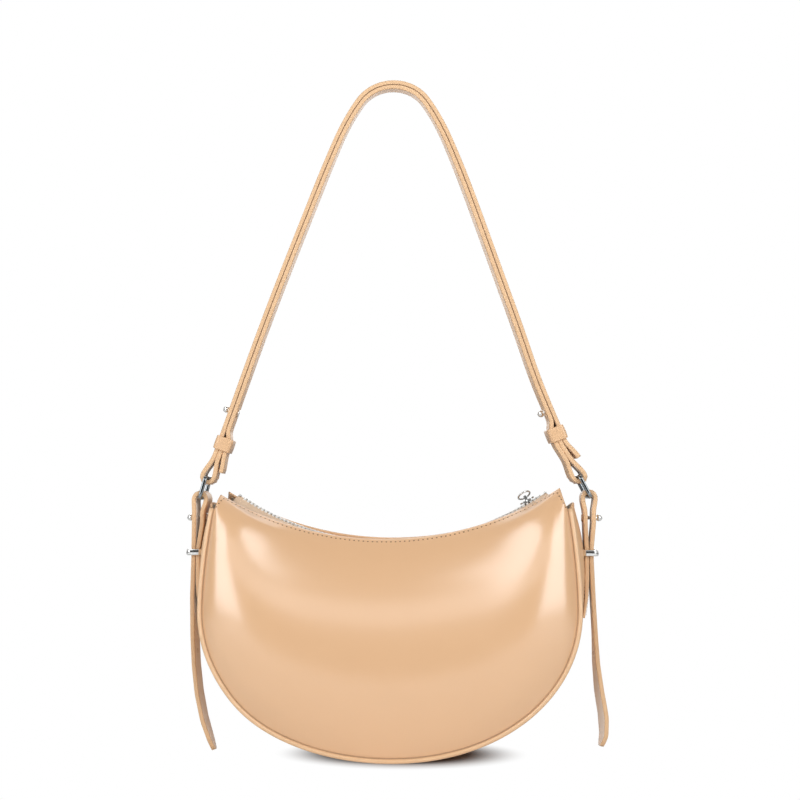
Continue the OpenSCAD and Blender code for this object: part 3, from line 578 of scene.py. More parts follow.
for node, grid, sign, rows in (("front_lining", frontGrid, 1, lining["rows"]),
                               ("back_lining", backGrid, -1, lining["rows"]),
                               ("gusset_lining", gussetPlaces, -1, lining["gussetRows"])):
    piece = shellPiece(node + "_cloth", insideOf(grid, sign, liningDepth, rows), lining["t"], liningCloth, rimSteps=2,
                       flip=sign < 0)
    dress(outward(piece), "bag", "lining", node)
pocket = shellPiece("slip_pocket_cloth", pocketGrid(), lining["pocketT"], liningCloth, rimSteps=3)
dress(outward(pocket), "bag", "lining", "inner_pocket")
print("body ready")


# straps: the same lines that the solids follow, with the soft bow and twist of the real one

strap = {
    "w": 19, "t": 3.1, "edgeR": 0.7, "step": 1.6, "apexZ": 488.6, "archR": 32, "archTurn": 55, "shoulderR": 165,
    "shoulderTurn": 66.5, "easeR": 800, "slope": 20.4, "studZ": 247, "studToBar": 51.6, "topLoopR": 2.8,
    "loopOpen": 15, "loopLift": 0.56, "layerFit": 0.1, "lean": (0.05, 0.2), "leanGap": 3,
    "freeEnd": (45.2, 38.5), "flare": (2.6, -2.6), "stepL": 9, "stepRoom": 1,
    "twist": 4.2, "apexLift": 2, "apexTip": 8, "apexFrom": 400, "apexOver": 80, "leftBow": (-2.4, 315, 95),
    "rightBow": (-1.5, 268, 30), "rightShift": 1.6, "shiftFrom": 300, "shiftOver": 120, "crossX": 30,
    "lineT": 0.5, "lineProud": 0.06, "lineEdgeR": 0.1, "lineEndH": -12,
}
ring = {"wire": 2.8, "barGap": 15.7, "tilt": (16, 23), "barTop": ((-134.9, 198), (134.6, 198.4)),
        "barLow": ((-139, 183.1), (142, 184.1)), "twist": 3, "cornerR": 1.2, "room": 0.3, "edgeR": 0.8}
leatherKeeper = {"drop": (24.8, 17.4), "h": 10, "t": 1.2, "room": 0.3, "cornerR": 1.6, "bulge": 0.25}
metalKeeper = {"z": 144, "h": 4.5, "t": 1.3, "fit": 0.2, "hold": 0.3, "room": 1.9, "sideRoom": 1.3, "cornerR": 2.2,
               "bulge": 0.25}
sideStrap = {
    "studZ": 168.8, "loopR": 3, "mid": (137.25, 139.25), "open": (143.15, 145.15), "step": 1.2, "barSag": 0.84,
    "bendUp": 3.3, "bendDown": 4, "sewn": ((98, 0.5), (105.8, 0.78), (114.1, 1), (124, 1)), "sewnOff": 0.1,
    "baseDown": 3, "endDown": 2.4, "thin": 0.5, "thinL": 26, "bend": (0.158, 0.172),
}
tail = {
    "tipZ": (1.6, 7), "step": 1.5, "pinGap": 0.5, "heldDown": 1, "straightL": 0.6, "bend": (0.1425, 0.134),
    "twist": (0, -13), "twistFrom": 0.35, "twistOver": 0.55,
    "curve": (((0.2, 0.005), (0.4, 0.001), (0.56, -0.008), (0.7, -0.024), (0.84, -0.053), (0.94, -0.086), (1, -0.108)),
              ((0.2, 0.008), (0.4, 0.018), (0.56, 0.024), (0.7, 0.038), (0.84, 0.06), (0.94, 0.062), (1, 0.046))),
    "tip": ((0, 1), (0.72, 1), (0.86, 0.88), (0.94, 0.66), (0.98, 0.4), (1, 0.16)),
}
rounding = {"step": 0.5, "reach": 3, "passes": 2}


def evenPath(dense, step):
    lengths = [0]
    for a, b in zip(dense, dense[1:]):
        lengths.append(lengths[-1] + (b - a).length)
    count = max(int(round(lengths[-1] / step)), 2)
    out, j = [], 0
    for i in range(count + 1):
        want = lengths[-1] * i / count
        while j < len(lengths) - 2 and lengths[j + 1] < want:
            j += 1
        span = lengths[j + 1] - lengths[j]
        out.append(dense[j].lerp(dense[j + 1], (want - lengths[j]) / span if span else 0))
    return out


def smoothPath(points, step):
    # an even, rounded line through places in front view: every place becomes the mean of its neighbours
    dense = evenPath(points, rounding["step"])
    last = len(dense) - 1
    for _ in range(rounding["passes"]):
        reaches = [min(rounding["reach"], i, last - i) for i in range(last + 1)]
        dense = [sum(dense[i - k:i + k + 1], Vector((0, 0))) / (2 * k + 1) for i, k in enumerate(reaches)]
    return evenPath(dense, step)


def lineLength(line):
    return sum((b - a).length for a, b in zip(line, line[1:]))


def lineFrame(line, i, twistAt=None):
    # a place of a line in front view, with the ways out of the strap's face and across the strap
    last = len(line) - 1
    t = (line[min(i + 1, last)] - line[max(i - 1, 0)]).normalized()
    turn = Matrix.Rotation(math.radians(twistAt(i / last) if twistAt else 0), 3, Vector((t.x, 0, t.y)))
    return Vector((line[i].x, 0, line[i].y)), turn @ Vector((-t.y, 0, t.x)), turn @ Vector((0, 1, 0))


def strapPiece(name, line, materials, thickness=strap["t"], width=strap["w"], edgeR=strap["edgeR"], thickAt=None,
               widthAt=None, twistAt=None):
    # a strap along a line in front view: outer face to the left of the way the line runs
    last = len(line) - 1
    section = roundedSection(thickness / 2, width / 2, edgeR)
    points, uvs, run = [], [], 0
    for i, p in enumerate(line):
        mid, out, across = lineFrame(line, i, twistAt)
        run += (p - line[i - 1]).length if i else 0
        outBy, acrossBy = (at(i / last) if at else 1 for at in (thickAt, widthAt))
        for o, w, kind in section:
            points.append(mid + out * o * outBy + across * w * acrossBy)
            uvs.append((run * mm, (w + (width if kind == 2 else 0)) * mm))
    kinds = [kind for o, w, kind in section]
    faceSlots = [a if a == b else 1 for a, b in zip(kinds, kinds[1:] + kinds[:1])] * last + [1, 1]
    return outward(newPiece(name, points, ringFaces(len(line), len(section)), materials, uvs, faceSlots))


def tanOf(a):
    return math.tan(math.radians(a))


def strapPlace(p):
    # where a place of the shoulder strap lies on the real, slightly twisted strap
    leftX, rightX = (size * bump((p.z - z) / spread) for size, z, spread in (strap["leftBow"], strap["rightBow"]))
    rightX += strap["rightShift"] * ease((p.z - strap["shiftFrom"]) / strap["shiftOver"])
    top = ease((p.z - strap["apexFrom"]) / strap["apexOver"])
    cross = ease((p.x + strap["crossX"]) / (2 * strap["crossX"]))
    return Vector((p.x + mix(leftX, rightX, cross) - p.y * tanOf(strap["twist"]), p.y,
                   p.z + top * (strap["apexLift"] + p.y * tanOf(strap["apexTip"]))))


def ringPlace(side):
    # moves a place from the solid ring's plane to the real ring's, which leans a little more
    sign = sideSign[side]
    low, high = lowerBar(side), upperBar(side)
    lowTo, highTo = Vector(ring["barLow"][side]), Vector(ring["barTop"][side])

    def place(p):
        s = (p.z - low.y) / (high.y - low.y)
        x = p.x + mix(lowTo.x - sign * low.x, highTo.x - sign * high.x, s)
        return Vector((x - p.y * tanOf(ring["twist"]), p.y, p.z + mix(lowTo.y - low.y, highTo.y - high.y, s)))
    return place


def moved(obj, place):
    for v in obj.data.vertices:
        v.co = place(v.co / mm) * mm
    obj.data.update()
    return obj


def turned(a):
    return Vector((math.sin(math.radians(a)), math.cos(math.radians(a))))


def upright(p, side=right):
    # a place or way in front view, carried to its own side of the bag
    return Vector((sideSign[side] * p.x, 0, p.y))


slope = strap["slope"]
legDown = Vector((math.sin(math.radians(slope)), -math.cos(math.radians(slope))))
legIn = Vector((-math.cos(math.radians(slope)), -math.sin(math.radians(slope))))
archMid = Vector((0, strap["apexZ"] - strap["archR"]))
shoulderMid = archMid + (strap["archR"] - strap["shoulderR"]) * turned(strap["archTurn"])
easeMid = shoulderMid + (strap["shoulderR"] - strap["easeR"]) * turned(strap["shoulderTurn"])
legTop = easeMid + strap["easeR"] * turned(90 - slope)
legRef = legTop + legDown * (legTop.y - strap["studZ"]) / math.cos(math.radians(slope))
loopMidR = strap["topLoopR"] + strap["t"] / 2
loopH = strap["loopLift"] - strap["studToBar"]
loopTopH = loopH + strap["loopOpen"]


def layerMid(n):
    return strap["t"] / 2 + n * (strap["t"] + strap["layerFit"])


def keeperLowH(side):
    return -leatherKeeper["drop"][side] - leatherKeeper["h"] / 2


def leanFrom(side):
    return keeperLowH(side) - strap["leanGap"]


def legPoint(side, inward, h):
    return legRef - legDown * h + legIn * (inward - strap["lean"][side] * max(leanFrom(side) - h, 0))


def upperBar(side):
    return legPoint(side, layerMid(0.5 if side == left else 1.5), loopH - strap["loopLift"])


def lowerBar(side):
    tilt = math.radians(ring["tilt"][side])
    return upperBar(side) + ring["barGap"] * Vector((math.sin(tilt), -math.cos(tilt)))


def halfArch(inward):
    arcs = ((archMid, strap["archR"], 0, strap["archTurn"], 14),
            (shoulderMid, strap["shoulderR"], strap["archTurn"], strap["shoulderTurn"], 4),
            (easeMid, strap["easeR"], strap["shoulderTurn"], 90 - slope, 4))
    return [mid + (r - inward) * turned(mix(a, b, i / steps)) for n, (mid, r, a, b, steps) in enumerate(arcs)
            for i in range(min(n, 1), steps + 1)]


def flipped(points):
    return [Vector((-p.x, p.y)) for p in points]


def openStrand(fromX, fromZ, toX, toZ, steps):
    # a strand that eases sideways on its way to the turn round a bar
    return [(mix(fromX, toX, ease(i / steps)), mix(fromZ, toZ, i / steps)) for i in range(steps + 1)]


def loopPlaces(fromIn, toIn):
    mid = (fromIn + toIn) / 2
    way = -loopMidR if fromIn < toIn else loopMidR
    turn = [(mid + way * math.cos(math.pi * i / 10), loopH - loopMidR * math.sin(math.pi * i / 10))
            for i in range(1, 10)]
    return (openStrand(fromIn, loopTopH, mid + way, loopH, 10) + turn
            + openStrand(toIn, loopTopH, mid - way, loopH, 10)[::-1])


def onLeg(side, places):
    return [legPoint(side, a, h) for a, h in places]


def legRun(inward, fromH, toH):
    return [(inward, mix(fromH, toH, i / 4)) for i in range(4)]


def strand(side, inward, fromH):
    return legRun(inward, fromH, leanFrom(side)) + legRun(inward, leanFrom(side), loopTopH)


def foldEndH(side):
    return strap["stepRoom"] - leatherKeeper["drop"][side]


def stepPlaces(side):
    low = foldEndH(side) + strap["stepRoom"]
    return [(mix(layerMid(1), layerMid(2), ease(i / 5)), low + strap["stepL"] * (1 - i / 5)) for i in range(6)]


def freeEnd(side, inward):
    return [(inward + strap["flare"][side] * ease(i / 10), mix(keeperLowH(side), -strap["freeEnd"][side], i / 10))
            for i in range(11)]


def overArch(rightLeg, n, leftLeg):
    # up the right leg, over the arch in layer n and down the left leg
    arch = halfArch(layerMid(n))
    places = onLeg(right, rightLeg) + arch[::-1] + flipped(arch[1:]) + flipped(onLeg(left, leftLeg))
    return smoothPath(places, strap["step"])


def foldedEnd(side, inner, outer):
    # down one layer, round the ring's bar and back up the next one
    return (strand(side, layerMid(inner), foldEndH(side) if inner else 0) + loopPlaces(layerMid(inner), layerMid(outer))
            + strand(side, layerMid(outer), foldEndH(side))[::-1])


outerLine = overArch(freeEnd(right, layerMid(0))[::-1] + [(layerMid(0), 0)], 0, foldedEnd(left, 0, 1))
innerLine = overArch(foldedEnd(right, 1, 2) + stepPlaces(right)[::-1] + [(layerMid(1), 0)], 1,
                     [(layerMid(1), 0)] + stepPlaces(left) + freeEnd(left, layerMid(2)))
fleshOut = [fleshFaceAndPaintedLight, paintedEdge, strapFace]
for name, line, faces in (("outer", outerLine, fleshOut), ("inner", innerLine, fleshOut[::-1])):
    piece = strapPiece("shoulder_strap_" + name + "_leather", line, faces)
    dress(outward(moved(piece, strapPlace)), "shoulder_strap", "strap", "shoulder_strap_" + name)

# the dark line where the two layers meet, a thin strip in painted shade of the gap between them
lineLeg = [(layerMid(0.5), strap["lineEndH"] * i / 3) for i in range(4)]
layerLine = strapPiece("strap_layer_line", overArch(lineLeg[::-1], 0.5, lineLeg), [holeAndGapShade] * 3, strap["lineT"],
                       strap["w"] + 2 * strap["lineProud"], strap["lineEdgeR"])
dress(outward(moved(layerLine, strapPlace)), "shoulder_strap", "strap")

keeperInX = gussetX(metalKeeper["z"]) + metalKeeper["fit"]
keeperBaseX = keeperInX + metalKeeper["t"] + metalKeeper["fit"] + strap["t"] / 2
keeperReturnX = keeperBaseX + strap["t"] + metalKeeper["fit"]
sideLoopMidR = sideStrap["loopR"] + strap["t"] / 2
tailPinZ = metalKeeper["z"] - metalKeeper["h"] / 2 - metalKeeper["hold"] - strap["t"] / 2 - tail["pinGap"]
heldZ = metalKeeper["z"] + metalKeeper["h"] / 2 + metalKeeper["hold"]


def sideStrapLine(side):
    # the strands stand a little open at the stud and meet at the metal keeper
    barX, barZ = ring["barLow"][side]
    mid = Vector((abs(barX), barZ - sideStrap["barSag"]))
    inX, outX = sideStrap["mid"][side], sideStrap["open"][side]
    bendZ, restZ = sideStrap["studZ"] + sideStrap["bendUp"], sideStrap["studZ"] - sideStrap["bendDown"]
    pts = [(gussetX(z) + sideStrap["sewnOff"] + k * strap["t"] / 2, z) for z, k in sideStrap["sewn"]]
    pts += [(keeperBaseX, metalKeeper["z"] - sideStrap["baseDown"]), (keeperBaseX, heldZ), (inX, restZ)]
    pts += openStrand(inX, bendZ, mid.x - sideLoopMidR, mid.y, 6)
    pts += [mid + sideLoopMidR * turned(18 * i - 90) for i in range(1, 10)]
    pts += openStrand(outX, bendZ, mid.x + sideLoopMidR, mid.y, 6)[::-1]
    pts += [(outX, restZ), (keeperReturnX, heldZ), (keeperReturnX, metalKeeper["z"] - sideStrap["endDown"])]
    return smoothPath([Vector(p) for p in pts], sideStrap["step"])


def tailTurn(side):
    return lambda s: tail["twist"][side] * ease((s - tail["twistFrom"]) / tail["twistOver"])


def tailWidth(s):
    for (a, wa), (b, wb) in zip(tail["tip"], tail["tip"][1:]):
        if s <= b:
            return mix(wa, wb, (s - a) / (b - a))
    return tail["tip"][-1][1]


sideLines, tailLines = [], []
for side in (left, right):
    name = sideName[side]
    line = sideStrapLine(side)
    length = tailPinZ - tail["tipZ"][side]
    places = [(0, metalKeeper["z"] - tail["heldDown"]), (0, tailPinZ + tail["straightL"])]
    places += [(out * length, tailPinZ - down * length) for down, out in tail["curve"][side]]
    tailLine = smoothPath([Vector((keeperReturnX + x, z)) for x, z in places], tail["step"])
    if side == left:
        line, tailLine = flipped(line), flipped(tailLine)
    sideLines.append(line)
    tailLines.append(tailLine)
    faces = fleshOut if side == left else fleshOut[::-1]
    thin = sideStrap["thinL"] / ((len(line) - 1) * sideStrap["step"])
    piece = strapPiece("side_strap_" + name, line, faces, thickAt=lambda s: mix(sideStrap["thin"], 1, clamp(s / thin)))
    dress(piece, "side_loops", "strap", "side_strap_base_" + name, "side_strap_return_" + name, "side_loop_" + name,
          bend=sideStrap["bend"])
    piece = strapPiece("tail_leather_" + name, tailLine, faces, widthAt=tailWidth, twistAt=tailTurn(side))
    dress(piece, name + "_tail", "strap", "tail_" + name, bend=tail["bend"])
print("straps ready, flat lengths in mm:", round(lineLength(outerLine)), round(lineLength(innerLine)),
      [round(lineLength(line)) for line in sideLines], [round(lineLength(line)) for line in tailLines],
      round(lineLength([seamLine(i / 100) for i in range(-100, 101)])))


# bands and rings

def roundedLoop(halfA, halfB, r, corner=8):
    # closed outline of a rounded rectangle, with the way outwards at each place
    out = []
    for q, (signA, signB) in enumerate(((1, 1), (-1, 1), (-1, -1), (1, -1))):
        for k in range(corner + 1):
            a = math.pi / 2 * (q + k / corner)
            out.append((signA * (halfA - r) + r * math.cos(a), signB * (halfB - r) + r * math.sin(a),
                        math.cos(a), math.sin(a)))
    return out


def bandPiece(name, origin, axisA, axisB, halfA, halfB, r, thick, tall, material, bulge=0, edgeR=None):
    # a band round a rounded rectangle in the plane of axisA and axisB: halfA and halfB reach its middle line
    up = axisA.cross(axisB).normalized()
    section = roundedSection(thick / 2, tall / 2, edgeR or thick * 0.45, flat=4)
    path, rings = [], []
    for a, b, da, db in roundedLoop(halfA, halfB, r):
        path.append(origin + axisA * a + axisB * b)
        out = (axisA * da + axisB * db).normalized()
        rings.append([path[-1] + out * (o + (bulge * (1 - (2 * w / tall) ** 2) if o > 0 else 0)) + up * w
                      for o, w, kind in section])
    return tubePiece(name, path, rings, material, closed=True)


forth = Vector((0, 1, 0))
for side in (left, right):
    name = sideName[side]
    # metal keeper round the side strap
    outX = keeperReturnX + strap["t"] / 2 + metalKeeper["room"] + metalKeeper["t"]
    piece = bandPiece("metal_keeper_band_" + name, upright(Vector(((keeperInX + outX) / 2, metalKeeper["z"])), side),
                      Vector((1, 0, 0)), forth, (outX - keeperInX - metalKeeper["t"]) / 2,
                      strap["w"] / 2 + metalKeeper["sideRoom"] + metalKeeper["t"] / 2, metalKeeper["cornerR"],
                      metalKeeper["t"], metalKeeper["h"], brightNickel, metalKeeper["bulge"])
    dress(piece, "bag", "bright_metal", "metal_keeper_" + name)
    # ring
    low, high = lowerBar(side), upperBar(side)
    wire = ring["wire"]
    up = upright((high - low).normalized(), side)
    piece = bandPiece("ring_wire_" + name, upright((low + high) / 2, side), forth, up,
                      (strap["w"] + wire) / 2 + ring["cornerR"] + ring["room"], ring["barGap"] / 2,
                      ring["cornerR"] + wire / 2, wire, wire, darkNickel, edgeR=ring["edgeR"])
    dress(moved(piece, ringPlace(side)), name + "_ring", "dark_metal", "ring_" + name)
    # leather keeper round the strap's layers
    at = legPoint(side, layerMid(1), -leatherKeeper["drop"][side])
    layers = 3 * strap["t"] + 2 * strap["layerFit"]
    piece = bandPiece("leather_keeper_band_" + name, upright(at, side), upright(legIn, side), forth,
                      (layers + leatherKeeper["t"]) / 2 + leatherKeeper["room"],
                      (strap["w"] + leatherKeeper["t"]) / 2 + leatherKeeper["room"], leatherKeeper["cornerR"],
                      leatherKeeper["t"], leatherKeeper["h"], keeperHide, leatherKeeper["bulge"])
    dress(moved(piece, strapPlace), name + "_keeper", "strap", "leather_keeper_" + name)
print("bands ready")


# studs and screws

stud = {
    "ballR": 2.5, "ballLift": 0.25, "neckR": 1.25, "neckDeep": 0.3, "collarR": 2.1, "collarDeep": 0.05, "collarT": 0.45,
    "collarRound": 0.25, "plateR": 3, "plateT": 1, "plateRound": 0.35, "gripRoom": 0.2,
}


def studPiece(name, seat, axis, grip):
    # seat is on the leather's face and axis points to the ball
    r, neckR, collarR, collarT = (stud[k] for k in ("ballR", "neckR", "collarR", "collarT"))
    profile = [(-grip, 0), (-grip, neckR), (-stud["neckDeep"], neckR), (-stud["collarDeep"], collarR),
               (collarT * 0.6, collarR),
               (collarT, collarR - stud["collarRound"]), (collarT, neckR)]
    neckTurn = math.pi - math.asin(neckR / r)
    ball = [mix(neckTurn, 0, k / 24) for k in range(25)]
    profile += [(r + stud["ballLift"] + r * math.cos(a), r * math.sin(a)) for a in ball]
    return outward(turnedPiece(name, profile, seat, axis, brightNickel))


def screwPiece(name, seat, axis):
    # a low domed screw head, axis points away from the leather
    r, t = stud["plateR"], stud["plateT"]
    profile = [(0, 0), (0, r), (t * 0.55, r), (t * 0.85, r - stud["plateRound"]), (t, r * 0.4), (t, 0)]
    return outward(turnedPiece(name, profile, seat, axis, brightNickel, 32))


strapGrip = 2 * strap["t"] + stud["gripRoom"]
strapScrews, sideScrews = [], []
for side in (left, right):
    name = sideName[side]
    out = upright(-legIn, side)
    seats = [(upright(legRef, side), out), (upright(legRef, side) - out * strapGrip, -out)]
    ballSeat, screwSeat = seats if side == left else seats[::-1]  # the right ball sits on the inner layer
    piece = studPiece("strap_ball_stud_" + name, *ballSeat, strapGrip)
    strapScrews.append(screwPiece("strap_screw_" + name, *screwSeat))
    dress(moved(piece, strapPlace), "shoulder_strap", "bright_metal", "strap_stud_" + name)
    grip = sideStrap["open"][side] - sideStrap["mid"][side] + strap["t"]
    out = upright(Vector((1, 0)), side)
    seat = upright(Vector((sideStrap["open"][side] + strap["t"] / 2, sideStrap["studZ"])), side)
    piece = studPiece("side_ball_stud_" + name, seat, out, grip)
    dress(piece, "bag", "bright_metal", "side_stud_" + name)
    sideScrews.append(screwPiece("side_screw_" + name, seat - out * grip, -out))
piece = moved(joined("strap_screws", strapScrews), strapPlace)
dress(piece, "shoulder_strap", "bright_metal", "strap_stud_screws")
dress(joined("side_screws", sideScrews), "bag", "bright_metal", "side_stud_screws")
print("studs ready")


# zip

zipper = {
    "chainR": 200, "chainLowZ": 153.2, "halfW": 112, "pitch": 3, "toothL": 1.6, "toothW": 2.4, "toothT": 2.2,
    "toothMidY": 1.28, "tapeT": 0.5, "tapeInY": 1.6, "tapeAcross": 8, "tapeAlong": 90, "overhang": 5,
    "endDrop": 6, "endFrom": 2, "endOver": 7, "tuck": 1.6, "underEdge": 0.2, "drop": 3.3, "sag": 0.5,
    "edgeX": (-121, 119), "stopL": 2.3, "stopR": 1, "stopRound": 0.3, "stopIn": 0.3, "stopLift": 0.2,
    "leftLean": 2, "leanX": 10, "leanOver": 80, "midLean": 2.6, "midSpread": 75,
}


def chainPlace(turn, y, lift=0):
    # a place carried round the middle of the zip's curve
    a = math.radians(turn)
    r = zipper["chainR"] - lift
    p = Vector((r * math.sin(a), y, zipper["chainLowZ"] + zipper["chainR"] - r * math.cos(a)))
    p.z -= chainLean(p.x)
    return p


def chainZ(x):
    return zipper["chainLowZ"] + zipper["chainR"] - math.sqrt(zipper["chainR"] ** 2 - x * x)


def chainLean(x):
    # the soft mouth lets the chain hang a little lower at the left and in the middle
    leftLean = zipper["leftLean"] * ease((-x - zipper["leanX"]) / zipper["leanOver"])
    return leftLean + zipper["midLean"] * bump(x / zipper["midSpread"])


def tapeGrid(side):
    # from the teeth up to the panel's edge, tucked under it at the corners and turned down past the ends
    minX, maxX = zipper["edgeX"]
    rows = []
    for j in range(zipper["tapeAcross"] + 1):
        s = j / zipper["tapeAcross"]
        row = []
        for i in range(zipper["tapeAlong"] + 1):
            x = (2 * i / zipper["tapeAlong"] - 1) * (zipper["halfW"] + zipper["overhang"])
            heldX = min(abs(x), zipper["halfW"])
            endDrop = zipper["endDrop"] * clamp((abs(x) - zipper["halfW"] + zipper["endFrom"]) / zipper["endOver"]) ** 2
            tuck = mix(zipper["tuck"], -bag["hideT"] - zipper["underEdge"], (heldX / zipper["halfW"]) ** 4)
            y = mouthGap(2 * min(abs(x), -minX) / bag["cornerW"]) / 2 + tuck
            edgeZ = mouthZ(min(max(x, minX), maxX), front if side < 0 else rear) - zipper["drop"]
            z = mix(chainZ(heldX) - chainLean(x), edgeZ, s) - endDrop - zipper["sag"] * math.sin(math.pi * s)
            row.append(Vector((x, side * mix(zipper["tapeInY"], y, s), z)))
        rows.append(row)
    return rows


for name, side in (("front", -1), ("back", 1)):
    piece = shellPiece("zip_tape_cloth_" + name, tapeGrid(side), zipper["tapeT"], tapeCloth, rimSteps=2, flip=side < 0)
    dress(outward(piece), "bag", "tape", "zip_tape_" + name)
print("tapes ready")


# repeated pieces made by geometry nodes

def pathObject(name, points, ups):
    mesh = bpy.data.meshes.new(name)
    mesh.from_pydata([tuple(c * mm for c in p) for p in points], [(i, i + 1) for i in range(len(points) - 1)], [])
    mesh.attributes.new("up", "FLOAT_VECTOR", "POINT").data.foreach_set("vector", [c for u in ups for c in u])
    obj = bpy.data.objects.new(name, mesh)
    bpy.context.scene.collection.objects.link(obj)
    return obj


def repeatTree(name, makeUnit, sizes):
    # follows a line, places a unit every pitch, X along the line and Z along "up"
    inputs = {"Geometry": ("Geometry", None), **{label: ("Float", value) for label, value in sizes.items()}}
    tree, given, end = groupTree(name, "GeometryNodeTree", inputs, {"Geometry": "Geometry"})
    curve = nodeOf(tree, "GeometryNodeMeshToCurve", {"Mesh": given["Geometry"]})
    even = nodeOf(tree, "GeometryNodeResampleCurve", {
        "Curve": curve.outputs["Curve"], "Length": given["Pitch"]}, mode="LENGTH")
    tangent = nodeOf(tree, "GeometryNodeInputTangent")
    kept = nodeOf(tree, "GeometryNodeCaptureAttribute")
    kept.capture_items.new("VECTOR", "way")
    setInputs(tree, kept, {"Geometry": even.outputs["Curve"], 1: tangent.outputs[0]})
    spots = nodeOf(tree, "GeometryNodeCurveToPoints", {"Curve": kept.outputs["Geometry"]}, mode="EVALUATED")
    up = nodeOf(tree, "GeometryNodeInputNamedAttribute", {"Name": "up"}, data_type="FLOAT_VECTOR")
    alignX = nodeOf(tree, "FunctionNodeAlignRotationToVector", {"Vector": kept.outputs[1]}, axis="X")
    alignZ = nodeOf(tree, "FunctionNodeAlignRotationToVector", {
        "Rotation": alignX.outputs["Rotation"], "Vector": up.outputs["Attribute"]}, axis="Z", pivot_axis="X")
    placed = nodeOf(tree, "GeometryNodeInstanceOnPoints", {
        "Points": spots.outputs["Points"], "Rotation": alignZ.outputs["Rotation"], "Instance": makeUnit(tree, given)})
    real = nodeOf(tree, "GeometryNodeRealizeInstances", {"Geometry": placed.outputs["Instances"]})
    setInputs(tree, end, {"Geometry": real.outputs["Geometry"]})
    return tree


def vectorOf(tree, given, parts):
    # a named part is one of the tree's sizes
    parts = {i: given[part] if isinstance(part, str) else part for i, part in enumerate(parts)}
    return nodeOf(tree, "ShaderNodeCombineXYZ", parts).outputs[0]


def painted(tree, geometry, material):
    return nodeOf(tree, "GeometryNodeSetMaterial", {"Geometry": geometry, "Material": material}).outputs["Geometry"]


def scaledBall(tree, given, sizes, material, offset=(0, 0, 0), rings=5):
    ball = nodeOf(tree, "GeometryNodeMeshUVSphere", {"Segments": 8, "Rings": rings, "Radius": 1})
    shaped = nodeOf(tree, "GeometryNodeTransform", {
        "Geometry": ball.outputs["Mesh"], "Scale": vectorOf(tree, given, sizes),
        "Translation": vectorOf(tree, given, offset)})
    smooth = nodeOf(tree, "GeometryNodeSetShadeSmooth", {"Geometry": shaped.outputs["Geometry"]})
    return painted(tree, smooth.outputs["Geometry"], material)


def stitchUnit(colour):
    def unit(tree, given):
        join = nodeOf(tree, "GeometryNodeJoinGeometry")
        laid = scaledBall(tree, given, ("Half length", "Half width", "Half height"), colour, ("Half pitch", 0, 0))
        setInputs(tree, join, {0: laid})
        # a flat dark spot at each needle hole, painted shade of the hole
        setInputs(tree, join, {0: scaledBall(tree, given, ("Hole", "Hole", "Hole depth"), holeAndGapShade, rings=4)})
        return join.outputs[0]
    return unit


def toothUnit(tree, given):
    cube = nodeOf(tree, "GeometryNodeMeshCube", {"Size": vectorOf(tree, given, ("Length", "Width", "Thickness"))})
    return painted(tree, cube.outputs["Mesh"], toothNickel)


stitch = {"Pitch": 0.0033, "Half pitch": 0.00165, "Half length": 0.00118, "Half width": 0.00026,
          "Half height": 0.00024, "Hole": 0.0006, "Hole depth": 0.00012}
sideStitch = {"Pitch": 0.0027, "Half pitch": 0.00135, "Half length": 0.001, "Half width": 0.0004,
              "Half height": 0.0002, "Hole": 0.0005}
tooth = {"Pitch": zipper["pitch"] * mm, "Length": zipper["toothL"] * mm, "Width": zipper["toothW"] * mm,
         "Thickness": zipper["toothT"] * mm}
rowsAt = {"mouthIn": 2.4, "mouthLift": 0.02, "turnGap": 1.2, "endRoom": 0.5, "strapIn": 2.2, "tailIn": 1.6,
          "sunk": 0.1, "least": 0.4}
stitchTree = repeatTree("stitchRow", stitchUnit(thread), stitch)
paleStitchTree = repeatTree("paleStitchRow", stitchUnit(paleThread), stitch)
toothTree = repeatTree("zipTeeth", toothUnit, tooth)


def madeReal(source, tree, name, values):
    mod = source.modifiers.new(tree.name, "NODES")
    mod.node_group = tree
    for item in tree.interface.items_tree:
        if item.item_type == "SOCKET" and item.in_out == "INPUT" and item.name in values:
            mod[item.identifier] = values[item.name]
    graph = bpy.context.evaluated_depsgraph_get()
    graph.update()
    mesh = bpy.data.meshes.new_from_object(source.evaluated_get(graph), depsgraph=graph)
    mesh.name = name
    obj = bpy.data.objects.new(name, mesh)
    bpy.context.scene.collection.objects.link(obj)
    source.modifiers.clear()
    bpy.data.objects.remove(source)
    return obj


def stitchRows(name, rows, values=stitch, tree=stitchTree):
    made = [madeReal(pathObject(name + "Path" + str(i), pts, ups), tree, name + str(i), values)
            for i, (pts, ups) in enumerate(rows)]
    return joined(name, made)


